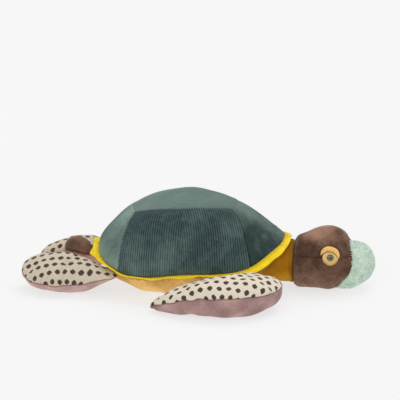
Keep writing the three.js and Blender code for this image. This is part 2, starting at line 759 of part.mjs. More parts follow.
function addEye(parent, word, side) {
  const frame = eyeFrame(side);
  parent.add(frame);
  const shank = toSolid(roundPlug(EYE.shankRadius + CLEARANCE, -EYE.discRadius, EYE.discRadius));
  const bored = (geometry) => fromSolid(toSolid(geometry).subtract(shank));
  const discTop = CLEARANCE + EYE.discThickness;
  const disc = bored(roundPlug(EYE.discRadius, CLEARANCE, discTop));
  const washerTop = -washerDepth();
  const washer = bored(roundPlug(EYE.washerRadius, washerTop - EYE.washerThickness, washerTop));
  addPiece(frame, `eye_disc_${word}`, disc, COLOURS.felt, CLOTH_ROUGHNESS);
  addPiece(frame, `eyelid_${word}`, lidGeometry(discTop + CLEARANCE, side), COLOURS.lid, CLOTH_ROUGHNESS);
  addPiece(frame, `eye_bead_${word}`, beadGeometry(discTop + CLEARANCE), COLOURS.bead, BEAD_ROUGHNESS);
  addPiece(frame, `eye_washer_${word}`, washer, COLOURS.washer, CLOTH_ROUGHNESS);
}

// The bead's dome with its shank, turned round local Z.
function beadGeometry(base) {
  const shankEnd = -(washerDepth() + EYE.washerThickness + EYE.shankTail);
  const dome = shares(BEAD_ROWS).map((share) => new THREE.Vector2(
    share === 1 ? 0 : EYE.beadRadius * Math.cos(share * QUARTER_TURN),
    base + EYE.beadHeight * Math.sin(share * QUARTER_TURN),
  ));
  const profile = [
    new THREE.Vector2(0, shankEnd),
    new THREE.Vector2(EYE.shankRadius, shankEnd),
    new THREE.Vector2(EYE.shankRadius, base),
    ...dome,
  ];
  return plain(new THREE.LatheGeometry(profile, ROUND_COLUMNS).rotateX(QUARTER_TURN));
}

// One place on an edge of the lid.
function lidEdge(edge, share) {
  const places = edge.map((_, i) => i);
  const at = (axis) => tableValue(places, edge.map((entry) => entry[axis]), share * (edge.length - 1));
  return new THREE.Vector2(at(0), at(1)).multiplyScalar(EYE.discRadius);
}

// The eyelid: a crescent of felt over the upper part of the disc and the head above it.
function lidGeometry(base, side) {
  const rings = shares(LID_STEPS).map((share) => {
    const outer = lidEdge(LID_OUTER_shares, share);
    const inner = lidEdge(LID_INNER_shares, share);
    return [[outer, 0], [outer, EYE.lidThickness], [inner, EYE.lidThickness], [inner, 0]].map(
      ([{ x, y }, lift]) => new THREE.Vector3(-side * x, y, base + lift));
  });
  if (side === LEFT) rings.reverse();
  return ringsGeometry([endPole(rings[0]), ...rings, endPole(rings.at(-1))], new THREE.Vector3());
}

function addHead(parent) {
  const socket = ballSolid(NECK.ballRadius + CLEARANCE);
  const rooms = SIDES.map(([, side]) => eyeRooms(side));
  const half = CLEARANCE / 2;
  const rows = shares(HEAD_ROWS);
  const noseRows = shares(SNOUT_ROWS);
  const coverLoop = [...headRings(rows, 0, -half), ...headRings(rows, CLOTH, -half).reverse()];
  let cover = toSolid(ringsGeometry(coverLoop, HEAD_MIDDLE, true)).subtract(socket);
  const snoutLoop = [...snoutRings(noseRows, 0, half), ...snoutRings(noseRows, CLOTH, half).reverse()];
  const snout = ringsGeometry(snoutLoop, HEAD_MIDDLE, true);
  const inset = CLOTH + CLEARANCE;
  const core = [...headRings(rows, inset, 0), ...snoutRings(noseRows, inset, 0).slice(1)];
  let stuffing = toSolid(ringsGeometry([endPole(core[0]), ...core], HEAD_MIDDLE)).subtract(socket);
  for (const { hole, pocket } of rooms) {
    cover = cover.subtract(hole);
    stuffing = stuffing.subtract(hole).subtract(pocket);
  }
  addPiece(parent, "head_cover", fromSolid(cover), COLOURS.brown, CLOTH_ROUGHNESS);
  addPiece(parent, "snout_cap", snout, COLOURS.mint, CLOTH_ROUGHNESS);
  addPiece(parent, "head_stuffing", fromSolid(stuffing), COLOURS.filling, CLOTH_ROUGHNESS);
  SIDES.forEach(([word, side]) => addEye(parent, word, side));
}

function addBody(parent) {
  const names = [
    "shell_right_front_panel",
    "shell_right_rear_panel",
    "shell_rear_panel",
    "shell_left_rear_panel",
    "shell_left_front_panel",
    "shell_front_panel",
  ];
  addPiece(parent, "shell_top_panel", topPanelGeometry(), COLOURS.corduroyTop, CLOTH_ROUGHNESS);
  names.forEach((name, sector) =>
    addPiece(parent, name, sidePanelGeometry(sector), COLOURS.corduroy, CLOTH_ROUGHNESS));
  addPiece(parent, "rim_tape", tapeGeometry(), COLOURS.tape, CLOTH_ROUGHNESS);
  addPiece(parent, "belly_cover", bellyGeometry(), COLOURS.mustard, CLOTH_ROUGHNESS);
  addPiece(parent, "body_stuffing", bodyGeometry(CLOTH + CLEARANCE), COLOURS.filling, CLOTH_ROUGHNESS);
}

const turtle = new THREE.Group();
addBody(turtle);
addNeck(turtle);
addHead(turtle);
addFlippers(turtle);
addTail(turtle);

export default turtle;
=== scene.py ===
"""The stuffed sea turtle's visible model: cloths, seams, eyes, floor, light and camera.

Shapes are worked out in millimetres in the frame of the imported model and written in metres.
+X points to the nose, +Z up, and the right side, which the camera sees, is -Y.
"""
from __future__ import annotations

import logging
import math
from contextlib import contextmanager
from dataclasses import dataclass, field
from enum import Enum
from typing import Any, Iterator, Sequence

import bmesh
import bpy
import numpy as np
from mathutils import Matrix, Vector

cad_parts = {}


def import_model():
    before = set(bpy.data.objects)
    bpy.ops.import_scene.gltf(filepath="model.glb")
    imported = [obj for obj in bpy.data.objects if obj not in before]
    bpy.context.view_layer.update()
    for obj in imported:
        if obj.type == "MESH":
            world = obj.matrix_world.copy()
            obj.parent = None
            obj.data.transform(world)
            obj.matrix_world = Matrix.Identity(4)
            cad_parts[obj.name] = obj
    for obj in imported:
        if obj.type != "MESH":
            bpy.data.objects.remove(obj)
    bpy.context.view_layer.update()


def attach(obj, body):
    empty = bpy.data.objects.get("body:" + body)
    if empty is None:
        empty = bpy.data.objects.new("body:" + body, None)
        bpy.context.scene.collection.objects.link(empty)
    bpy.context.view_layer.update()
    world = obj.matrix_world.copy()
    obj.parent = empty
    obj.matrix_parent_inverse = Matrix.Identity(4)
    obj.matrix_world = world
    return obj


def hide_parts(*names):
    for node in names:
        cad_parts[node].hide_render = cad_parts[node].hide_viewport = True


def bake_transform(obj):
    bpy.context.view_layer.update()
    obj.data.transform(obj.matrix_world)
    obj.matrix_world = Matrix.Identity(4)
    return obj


LOG = logging.getLogger("turtle")
MM = 0.001
RIPPLE_WAVES = 9
Array = np.ndarray
Piece = bpy.types.Object
Mesh = bpy.types.Mesh
Material = bpy.types.Material
Node = bpy.types.Node
Socket = bpy.types.NodeSocket
Tree = bpy.types.NodeTree


class Side(Enum):
    """A side of the turtle, with its sign along Y."""

    RIGHT = -1
    LEFT = 1

    @property
    def word(self) -> str:
        """The side's name as the nodes spell it."""
        return self.name.lower()


class Cover(Enum):
    """Which cloth of a pillow-shaped limb."""

    TOP = "top_cover"
    UNDER = "under_cover"


# Small mathematics


def smooth_table(places: Sequence[float], values: Sequence[float], at: Array) -> Array:
    """Reads a smooth curve through table values, as the solid model does.

    Args:
        places: rising places of the table.
        values: the value at each place.
        at: where to read the curve.

    Returns:
        The values there, held constant past the ends.
    """
    x, y = np.asarray(places, float), np.asarray(values, float)
    last = len(x) - 1
    t = np.clip(at, x[0], x[last])
    i = np.clip(np.searchsorted(x, t, side="right") - 1, 0, last - 1)
    before, after = np.where(i > 0, i - 1, i + 1), np.where(i + 2 <= last, np.minimum(i + 2, last), i)
    t0, t1 = x[i], x[i + 1]
    half = (t1 - t0) / 2
    wp = half / (t0 - np.where(i > 0, x[before], t1))
    wn = half / (np.where(i + 2 <= last, x[after], t0) - t1)
    p = (t - t0) / (t1 - t0)
    pp, ppp = p * p, p**3
    first = -wp * ppp + 2 * wp * pp - wp * p
    low = (1 + wp) * ppp + (-1.5 - 2 * wp) * pp + (-0.5 + wp) * p + 1
    high = (-1 - wn) * ppp + (1.5 + wn) * pp + 0.5 * p
    return first * y[before] + low * y[i] + high * y[i + 1] + (wn * ppp - wn * pp) * y[after]


def closed_curve(points: Array, count: int, centripetal: bool = True) -> Array:
    """Samples a smooth closed curve through points.

    Args:
        points: the points, one a row.
        count: how many samples.
        centripetal: spaced by distance, or evenly.

    Returns:
        The samples, one a row.
    """
    size = len(points)
    place = np.arange(count) / count * size
    i = np.floor(place).astype(int)
    w = (place - i)[:, None]
    p0, p1, p2, p3 = (points[(i + k) % size] for k in (-1, 0, 1, 2))
    if centripetal:
        steps = ((p0, p1), (p1, p2), (p2, p3))
        d0, d1, d2 = (np.sqrt(np.linalg.norm(b - a, axis=1))[:, None] for a, b in steps)
        m1 = ((p1 - p0) / d0 - (p2 - p0) / (d0 + d1) + (p2 - p1) / d1) * d1
        m2 = ((p2 - p1) / d1 - (p3 - p1) / (d1 + d2) + (p3 - p2) / d2) * d1
    else:
        m1, m2 = (p2 - p0) / 2, (p3 - p1) / 2
    return p1 + m1 * w + (3 * (p2 - p1) - 2 * m1 - m2) * w**2 + (2 * (p1 - p2) + m1 + m2) * w**3


def ripple(points: Array, wavelength: float, seed: int) -> Array:
    """A soft random swell over space, about -1 to 1.

    Args:
        points: places in mm, in the last axis.
        wavelength: the mean length of a wave in mm.
        seed: which swell.

    Returns:
        The swell at each place.
    """
    random = np.random.default_rng(seed)
    total = np.zeros(points.shape[:-1])
    for _ in range(RIPPLE_WAVES):
        way = random.normal(size=points.shape[-1])
        way *= math.tau / (np.linalg.norm(way) * wavelength * random.uniform(0.7, 1.5))
        total += np.sin(points @ way + random.uniform(0, math.tau))
    return total / math.sqrt(RIPPLE_WAVES / 1.6)


def lengths_along(points: Array, axis: int) -> Array:
    """Walks over a grid of points along one of its axes.

    Args:
        points: the grid.
        axis: 0 to walk down the rows, 1 across the columns.

    Returns:
        The distance walked to each point, from 0.
    """
    steps = np.linalg.norm(np.diff(points, axis=axis), axis=-1)
    pad = [(0, 0), (0, 0)]
    pad[axis] = (1, 0)
    return np.cumsum(np.pad(steps, pad), axis=axis)


def grid_normals(points: Array, outside_of: Array, wrap: bool = False) -> Array:
    """Finds the unit normals of a grid of points.

    Args:
        points: the grid.
        outside_of: the point that they turn away from.
        wrap: whether the last column joins the first.

    Returns:
        The normals.
    """
    across = np.roll(points, -1, 1) - np.roll(points, 1, 1) if wrap else np.gradient(points, axis=1)
    normals = np.cross(np.gradient(points, axis=0), across)
    normals /= np.maximum(np.linalg.norm(normals, axis=-1, keepdims=True), 1e-9)
    away = np.sum(normals * (points - outside_of), axis=-1)
    return normals * (1.0 if away.mean() > 0 else -1.0)


def smooth_step(low: float, high: float, value: Array) -> Array:
    """0 below low, 1 above high, and smooth between."""
    t = np.clip((value - low) / (high - low), 0, 1)
    return t * t * (3 - 2 * t)


def hump(value: Array, width: float) -> Array:
    """1 where the value is 0, falling off smoothly on both sides."""
    return np.exp(-((value / width) ** 2))


def band(value: Array, rise: tuple[float, float], fall: tuple[float, float]) -> Array:
    """1 between a smooth rise and a smooth fall, each given by its ends, and 0 outside."""
    return smooth_step(*rise, value) * (1 - smooth_step(*fall, value))


def polar_grid(shares: int | Array, columns: int) -> tuple[Array, Array]:
    """Lays out the shares and the turns of a round grid.

    Args:
        shares: the share of each row, or how many rows run from 0 to 1.
        columns: how many columns go once round.

    Returns:
        The share of each point, and its turn in radians.
    """
    rows = np.linspace(0, 1, shares) if isinstance(shares, int) else shares
    made = np.meshgrid(rows, np.linspace(0, math.tau, columns, endpoint=False), indexing="ij")
    return made[0], made[1]


def turned(radius: Array, turn: Array, height: Array) -> Array:
    """Points at a radius, a turn and a height."""
    return np.stack(np.broadcast_arrays(radius * np.cos(turn), radius * np.sin(turn), height), axis=-1)


# Meshes


@contextmanager
def opened(mesh: Mesh) -> Iterator[bmesh.types.BMesh]:
    """Opens a mesh for work and writes it back.

    Args:
        mesh: the mesh.

    Yields:
        The open mesh.
    """
    work = bmesh.new()
    work.from_mesh(mesh)
    yield work
    work.to_mesh(mesh)
    work.free()


def face_out(mesh: Mesh) -> None:
    """Turns a closed mesh's faces out."""
    with opened(mesh) as work:
        bmesh.ops.recalc_face_normals(work, faces=work.faces)


def weld(mesh: Mesh) -> None:
    """Merges doubled points and shades the mesh smooth."""
    with opened(mesh) as work:
        bmesh.ops.remove_doubles(work, verts=work.verts, dist=1e-6)
        for face in work.faces:
            face.smooth = True


def new_piece(name: str, points: Array, edges: Sequence[Any], faces: Sequence[Any]) -> Piece:
    """Puts a new piece in the scene, at the origin.

    Args:
        name: the piece's name.
        points: its points, in mm.
        edges: its bare edges, as pairs of points.
        faces: its faces, as lists of points.

    Returns:
        The object, in metres.
    """
    mesh = bpy.data.meshes.new(name)
    mesh.from_pydata((np.asarray(points) * MM).tolist(), edges, faces)
    piece = bpy.data.objects.new(name, mesh)
    bpy.context.collection.objects.link(piece)
    return piece


def grid_faces(index: Array, wrap: bool) -> Array:
    """The four-sided faces between a grid's points.

    Args:
        index: the number of each point.
        wrap: whether the last column joins the first.

    Returns:
        The faces, one a row.
    """
    right = np.roll(index, -1, axis=1) if wrap else index[:, 1:]
    left = index if wrap else index[:, :-1]
    return np.stack([left[:-1], right[:-1], right[1:], left[1:]], axis=-1).reshape(-1, 4)


def grid_piece(
    name: str,
    points: Array,
    outside_of: Sequence[float],
    wrap: bool = False,
    uv: Array | None = None,
    fields: dict[str, Array] | None = None,
) -> Piece:
    """Makes one piece from a grid of points.

    Args:
        name: the piece's name.
        points: rows by columns by 3, in mm. Rows that fall on one point are closed to a pole.
        outside_of: a point that the faces look away from, in mm.
        wrap: whether the last column joins the first.
        uv: rows by columns by 2, a flat place on the cloth in units of 100 mm.
        fields: named numbers for the material, each rows by columns.

    Returns:
        The object, at the origin, in metres.
    """
    rows, columns = points.shape[:2]
    faces = grid_faces(np.arange(rows * columns).reshape(rows, columns), wrap)
    flat = points.reshape(-1, 3)
    corner = flat[faces]
    normal = np.cross(corner[:, 2] - corner[:, 0], corner[:, 3] - corner[:, 1])
    if np.sum(normal * (corner.mean(axis=1) - np.asarray(outside_of, float))) < 0:
        faces = faces[:, ::-1]
    piece = new_piece(name, flat, [], faces.tolist())
    mesh = piece.data
    if uv is not None:
        corners = np.empty(len(mesh.loops), int)
        mesh.loops.foreach_get("vertex_index", corners)
        mesh.uv_layers.new(name="cloth").data.foreach_set("uv", uv.reshape(-1, 2)[corners].ravel())
    for key, values in (fields or {}).items():
        layer = mesh.attributes.new(key, "FLOAT", "POINT")
        layer.data.foreach_set("value", np.broadcast_to(values, (rows, columns)).astype(np.float32).ravel())
    weld(mesh)
    return piece


def refine(grid: Array, axis: int, places: Array, wrap: bool = False) -> Array:
    """Reads a smooth curve through a grid's rows or columns.

    Args:
        grid: the grid, with rows and columns first.
        axis: 0 to read along the rows, 1 along the columns.
        places: where to read, counted in rows or columns.
        wrap: whether the last one is followed by the first.

    Returns:
        The grid at those places.
    """
    values = np.moveaxis(grid, axis, 0)
    size = len(values)
    whole = np.floor(places).astype(int)
    w = (places - whole).reshape(-1, *[1] * (values.ndim - 1))
    near = [whole + k for k in (-1, 0, 1, 2)]
    a, b, c, d = (values[n % size if wrap else np.clip(n, 0, size - 1)] for n in near)
    made = b + 0.5 * w * (c - a + w * (2 * a - 5 * b + 4 * c - d + w * (3 * (b - c) + d - a)))
    return np.moveaxis(made, 0, axis)


@dataclass(frozen=True)
class Filling:
    """A short cloth run that fills a sewn piece until its cloth is taut.

    Seams are held, and no point moves farther than the cap, in mm.
    """

    rows: int
    columns: int
    pressure: float = 4.0
    frames: int = 20
    slack: float = 0.03
    cap: float = 2.0
    mass: float = 0.2
    quality: int = 6

    def moves(self, points: Array, held: Array) -> Array:
        """Runs the cloth on a coarser copy of a grid whose last column joins the first.

        Args:
            points: the grid in mm. Places that fall together are sewn together.
            held: 1 where the cloth is held, 0 where it is free, over the grid.

        Returns:
            How far each point of the grid moves in mm.
        """
        size = points.shape[:2]
        rows = np.linspace(0, size[0] - 1, self.rows)
        columns = np.linspace(0, size[1], self.columns, endpoint=False)
        both = np.concatenate([points, held[..., None]], axis=-1)
        coarse = refine(refine(both, 0, rows), 1, columns, wrap=True)
        flat = np.round(coarse.reshape(-1, 4), 2)
        _, first, number = np.unique(flat[:, :3], axis=0, return_index=True, return_inverse=True)
        number = number.reshape(coarse.shape[:2])
        faces = [list(dict.fromkeys(face)) for face in grid_faces(number, wrap=True).tolist()]
        faces = [face for face in faces if len(face) > 2]
        moved = self._run(flat[first, :3], faces, np.clip(flat[first, 3], 0, 1))
        back_rows = np.linspace(0, self.rows - 1, size[0])
        back_columns = np.linspace(0, self.columns, size[1], endpoint=False)
        return refine(refine(moved[number], 0, back_rows), 1, back_columns, wrap=True)

    def _run(self, start: Array, faces: list[list[int]], held: Array) -> Array:
        """Steps the cloth.

        Args:
            start: its points in mm.
            faces: its faces.
            held: how firmly each point is held, 0 to 1.

        Returns:
            How far each point moved in mm, up to the cap.
        """
        piece = new_piece("cloth_run", start, [], faces)
        face_out(piece.data)
        group = piece.vertex_groups.new(name="held")
        for number, weight in enumerate(held.tolist()):
            group.add([number], weight, "REPLACE")
        modifier = piece.modifiers.new("filling", "CLOTH")
        cloth = modifier.settings
        cloth.quality = self.quality
        cloth.mass = self.mass
        cloth.vertex_group_mass = "held"
        cloth.use_pressure = True
        cloth.uniform_pressure_force = self.pressure
        cloth.shrink_min = -self.slack
        cloth.effector_weights.gravity = 0.0
        modifier.collision_settings.use_collision = False
        modifier.point_cache.frame_start = 1
        modifier.point_cache.frame_end = self.frames
        scene = bpy.context.scene
        for frame in range(1, self.frames + 1):
            scene.frame_set(frame)
        result = piece.evaluated_get(bpy.context.evaluated_depsgraph_get()).to_mesh()
        flat = np.empty(len(result.vertices) * 3)
        result.vertices.foreach_get("co", flat)
        moved = flat.reshape(-1, 3) / MM - start
        scene.frame_set(1)
        bpy.data.objects.remove(piece)
        reach = np.linalg.norm(moved, axis=1, keepdims=True)
        LOG.info("cloth: %d points, moved %.2f mm, %.2f mm at most", len(start), reach.mean(), reach.max())
        return moved * np.minimum(1, self.cap / np.maximum(reach, 1e-9))


def level(moves: Array, normals: Array, free: Array) -> Array:
    """Takes the even part of a swelling out of a piece's moves, so that its creases and puckers stay.

    Args:
        moves: how far each point of a grid moves.
        normals: the grid's normals.
        free: 1 where the cloth is free, 0 where it is held.

    Returns:
        The moves that are left.
    """
    swell = np.sum(moves * normals, axis=-1)
    mean = float((swell * free).sum() / max(float(free.sum()), 1e-6))
    return moves - normals * (mean * free)[..., None]


def dress(
    piece: Piece,
    body: str | tuple[str, str, Sequence[float], Sequence[float]],
    slot: str,
    replaces: Sequence[str] = (),
    material: Material | None = None,
) -> Piece:
    """Hands a finished piece to the frame.

    Args:
        piece: the piece, at the origin.
        body: the body that it rides on, or two bodies and the points where it starts and ends bending; those
            are not used, and such a piece stays where it is, on no body.
        slot: the record's material slot.
        replaces: the nodes that it stands for.
        material: its material, where no node tree has set it.

    Returns:
        The piece.
    """
    if material is not None:
        piece.data.materials.clear()
        piece.data.materials.append(material)
    if isinstance(body, tuple):
        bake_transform(piece)
    else:
        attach(piece, body)
    if replaces:
        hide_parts(*replaces)
    LOG.info("%s: %d faces, slot %s", piece.name, len(piece.data.polygons), slot)
    return piece


# Node trees


class Bench:
    """Lays out nodes in one tree and joins them."""

    def __init__(self, tree: Tree) -> None:
        """Starts on an empty tree."""
        self.tree = tree
        self.count = 0

    def feed(self, socket: Socket, value: Any) -> None:
        """Joins a socket to another one, or sets its own value."""
        if isinstance(value, Socket):
            self.tree.links.new(value, socket)
        else:
            socket.default_value = value

    def node(self, kind: str, inputs: dict[Any, Any] | None = None, **settings: Any) -> Node:
        """Adds a node.

        Args:
            kind: its type.
            inputs: values or sockets by input name or number.
            settings: its properties.

        Returns:
            The node.
        """
        made = self.tree.nodes.new(kind)
        made.location = (200 * (self.count % 10), -260 * (self.count // 10))
        self.count += 1
        for key, value in settings.items():
            setattr(made, key, value)
        for key, value in (inputs or {}).items():
            self.feed(made.inputs[key], value)
        return made

    def math(self, operation: str, *values: Any, clamp: bool = False) -> Socket:
        """Adds a Math node and returns its result."""
        made = self.node("ShaderNodeMath", dict(enumerate(values)), operation=operation, use_clamp=clamp)
        return made.outputs[0]

    def span(self, value: Any, low: float, high: float) -> Socket:
        """Maps a range of a value onto 0 to 1, clamped."""
        return self.node("ShaderNodeMapRange", {0: value, 1: low, 2: high}).outputs[0]

    def mix(self, factor: Any, low: Any, high: Any, blend: str = "MIX") -> Socket:
        """Mixes two colours and returns the result."""
        made = self.node("ShaderNodeMix", {0: factor, 6: low, 7: high}, data_type="RGBA", blend_type=blend)
        return made.outputs[2]

    def noise(self, vector: Any, scale: Any, detail: float = 2.0, distortion: float = 0.0) -> Socket:
        """Adds a noise texture and returns its value, 0 to 1."""
        values = {"Vector": vector, "Scale": scale, "Detail": detail, "Distortion": distortion}
        return self.node("ShaderNodeTexNoise", values).outputs[0]

    def attribute(self, name: str) -> Socket:
        """Reads a number that the piece's points carry."""
        return self.node("ShaderNodeAttribute", attribute_name=name).outputs["Fac"]

    def group(self, tree: Tree, inputs: dict[str, Any]) -> Any:
        """Places a node group with its own values and returns its outputs."""
        return self.node("ShaderNodeGroup", inputs, node_tree=tree).outputs


def new_group(
    name: str, inputs: dict[str, Any], outputs: dict[str, str], kind: str = "ShaderNodeTree"
) -> tuple[Tree, Bench, Any, Any]:
    """Starts a node group.

    Args:
        name: its name.
        inputs: a number to start from, or else a socket type, by name.
        outputs: socket type by name.
        kind: the tree's type.

    Returns:
        The tree, its bench, its input node's sockets and its output node's sockets.
    """
    tree = bpy.data.node_groups.new(name, kind)
    numbers = {float: "NodeSocketFloat", int: "NodeSocketInt"}
    for key, value in inputs.items():
        socket_type = numbers.get(type(value), value)
        socket = tree.interface.new_socket(key, in_out="INPUT", socket_type=socket_type)
        if socket_type != value:
            socket.default_value = value
    for key, socket_type in outputs.items():
        tree.interface.new_socket(key, in_out="OUTPUT", socket_type=socket_type)
    bench = Bench(tree)
    return tree, bench, bench.node("NodeGroupInput").outputs, bench.node("NodeGroupOutput").inputs


def colour(code: str) -> tuple[float, ...]:
    """A linear colour from six hexadecimal digits."""
    parts = (int(code[i : i + 2], 16) / 255 for i in (0, 2, 4))
    return (*(c / 12.92 if c <= 0.04045 else ((c + 0.055) / 1.055) ** 2.4 for c in parts), 1.0)


class Effects:
    """The shader node groups that several cloths share, each built once."""

    def __init__(self) -> None:
        """Builds the groups."""
        self.pile = self._pile()
        self.weave = self._weave()
        self.seam = self._seam()

    @staticmethod
    def _pile() -> Tree:
        """Brushed pile: broad patches that lie another way, streaks, and single fibres.

        Returns:
            The group.
        """
        tree, b, i, o = new_group(
            "pile",
            {"Vector": "NodeSocketVector", "Patches": 40.0, "Fibres": 900.0, "Contrast": 1.0},
            {"Shade": "NodeSocketFloat", "Height": "NodeSocketFloat"},
        )
        patch = b.noise(i["Vector"], i["Patches"], 4.0, 0.6)
        streak = b.noise(i["Vector"], b.math("MULTIPLY", i["Patches"], 6.0), 3.0, 1.2)
        fibre = b.noise(i["Vector"], i["Fibres"], 2.0)
        swing = b.math("MULTIPLY_ADD", b.math("SUBTRACT", patch, 0.5), 2.1, b.math("SUBTRACT", streak, 0.5))
        swing = b.math("MULTIPLY_ADD", b.math("SUBTRACT", fibre, 0.5), 0.9, swing)
        b.feed(o["Shade"], b.math("MULTIPLY_ADD", swing, i["Contrast"], 0.5, clamp=True))
        b.feed(o["Height"], b.math("MULTIPLY_ADD", fibre, 0.7, b.math("MULTIPLY", streak, 0.3)))
        return tree

    @staticmethod
    def _weave() -> Tree:
        """Plain weave on a flat place of the cloth: threads over and under each other, with slubs.

        Returns:
            The group.
        """
        tree, b, i, o = new_group(
            "weave",
            {"Vector": "NodeSocketVector", "Threads": 150.0},
            {"Height": "NodeSocketFloat", "Slub": "NodeSocketFloat"},
        )
        split = b.node("ShaderNodeSeparateXYZ", {0: i["Vector"]}).outputs
        u, v = (b.math("MULTIPLY", b.math("MULTIPLY", split[k], i["Threads"]), math.pi) for k in (0, 1))
        over = b.math("MULTIPLY", b.math("SINE", u), b.math("SINE", v))
        rows, columns = (b.math("ABSOLUTE", b.math("COSINE", way)) for way in (u, v))
        gaps = b.math("MULTIPLY", b.math("MULTIPLY", rows, columns), 0.3)
        b.feed(o["Height"], b.math("SUBTRACT", b.math("MULTIPLY_ADD", over, 0.35, 0.6), gaps))
        stretched = b.node("ShaderNodeMapping", {"Vector": i["Vector"], "Scale": (1.0, 6.0, 1.0)}).outputs[0]
        slub = b.math("MULTIPLY", b.noise(stretched, b.math("MULTIPLY", i["Threads"], 0.4), 3.0), 0.5)
        b.feed(o["Slub"], b.math("MULTIPLY_ADD", b.noise(i["Vector"], i["Threads"], 1.0), 0.5, slub))
        return tree

    @staticmethod
    def _seam() -> Tree:
        """The shade that gathers in a seam, from the piece's seam attribute.

        Returns:
            The group.
        """
        tree, b, i, o = new_group("seam_shade", {"Amount": 0.6, "Reach": 0.5}, {"Mask": "NodeSocketFloat"})
        fade = b.math("DIVIDE", b.attribute("seam"), i["Reach"], clamp=True)
        b.feed(o["Mask"], b.math("MULTIPLY", b.math("SUBTRACT", 1.0, fade), i["Amount"]))
        return tree


class PaintBench(Bench):
    """The bench of one material, with its Principled shader and the shared groups at hand."""

    def __init__(self, name: str, effects: Effects | None = None) -> None:
        """Starts a material.

        Args:
            name: the material's name.
            effects: the shared groups, where it uses any.
        """
        self.material = bpy.data.materials.new(name)
        self.material.use_nodes = True
        self.material.node_tree.nodes.clear()
        super().__init__(self.material.node_tree)
        self.effects = effects
        self.shader = self.node("ShaderNodeBsdfPrincipled")
        self.node("ShaderNodeOutputMaterial", {"Surface": self.shader.outputs[0]})

    def place(self) -> Socket:
        """The place on the piece, in metres."""
        return self.node("ShaderNodeTexCoord").outputs["Object"]

    def cloth_map(self) -> Socket:
        """The flat place on the piece's cloth."""
        return self.node("ShaderNodeUVMap", uv_map="cloth").outputs[0]

    def brushed(self, patches: float, fibres: float, contrast: float) -> Any:
        """Places the pile group and returns its outputs."""
        values = {"Vector": self.place(), "Patches": patches, "Fibres": fibres, "Contrast": contrast}
        return self.group(self.effects.pile, values)

    def sewn(self, base: Any, tint: str, amount: float, reach: float, over: bool = True) -> Socket:
        """Darkens a colour toward the piece's seams, as painted shade.

        Args:
            base: the colour away from the seams.
            tint: the colour of the painted shade in them.
            amount: how much of it shows.
            reach: how far out it reaches.
            over: whether it lies over the base as a shade, or covers it.

        Returns:
            The colour with its seams.
        """
        mask = self.group(self.effects.seam, {"Amount": amount, "Reach": reach})["Mask"]
        shade = self.mix(1.0, base, colour(tint), "MULTIPLY") if over else colour(tint)
        return self.mix(mask, base, shade)

    def cloth(self, base: Any, height: Any, bump: float, roughness: float, sheen: float, tint: str) -> None:
        """Sets the shader for a cloth.

        Args:
            base: its colour.
            height: the height of its fibres, 0 to 1.
            bump: how high they stand, in metres.
            roughness: how dull it is.
            sheen: how much light its fibres catch.
            tint: the colour of that light.
        """
        constants = {"Roughness": roughness, "Specular IOR Level": 0.2, "Sheen Weight": sheen}
        constants |= {"Sheen Roughness": 0.45, "Sheen Tint": colour(tint)}
        for key, value in constants.items():
            self.shader.inputs[key].default_value = value
        self.feed(self.shader.inputs["Base Color"], base)
        relief = self.node("ShaderNodeBump", {"Strength": 1.0, "Distance": bump, "Height": height})
        self.feed(self.shader.inputs["Normal"], relief.outputs[0])


@dataclass(frozen=True)
class Finish:
    """What a piece is dressed in."""

    name: str

    def build(self, effects: Effects) -> Material:
        """Makes the material with the shared groups.

        Args:
            effects: those groups.

        Returns:
            The material.
        """
        bench = PaintBench(self.name, effects)
        self.paint(bench)
        return bench.material

    def paint(self, b: PaintBench) -> None:
        """Lays out the nodes of the finish."""
        raise NotImplementedError


@dataclass(frozen=True)
class Velvet(Finish):
    """A short brushed pile cloth, lighter where the piece's attribute paints light and sheen on it, over the
    pile's own brushed tone.
    """

    dark: str
    light: str
    patches: float = 42.0
    fibres: float = 950.0
    contrast: float = 0.8
    sheen: float = 0.4
    sheen_tint: str = "ffffff"
    bump: float = 0.0006
    seam: float = 0.5
    swing: float = 0.55

    def paint(self, b: PaintBench) -> None:
        """Lays out the nodes.

        Args:
            b: the material's bench.
        """
        pile = b.brushed(self.patches, self.fibres, self.contrast)
        swing = b.math("SUBTRACT", pile["Shade"], 0.5)
        # Painted light and shade from the attribute over the pile, then painted shade in the seams.
        shade = b.math("MULTIPLY_ADD", swing, self.swing, b.attribute("nap"), clamp=True)
        base = b.sewn(b.mix(shade, colour(self.dark), colour(self.light)), "4a3d38", self.seam, 0.5)
        b.cloth(base, pile["Height"], self.bump, 0.95, self.sheen, self.sheen_tint)


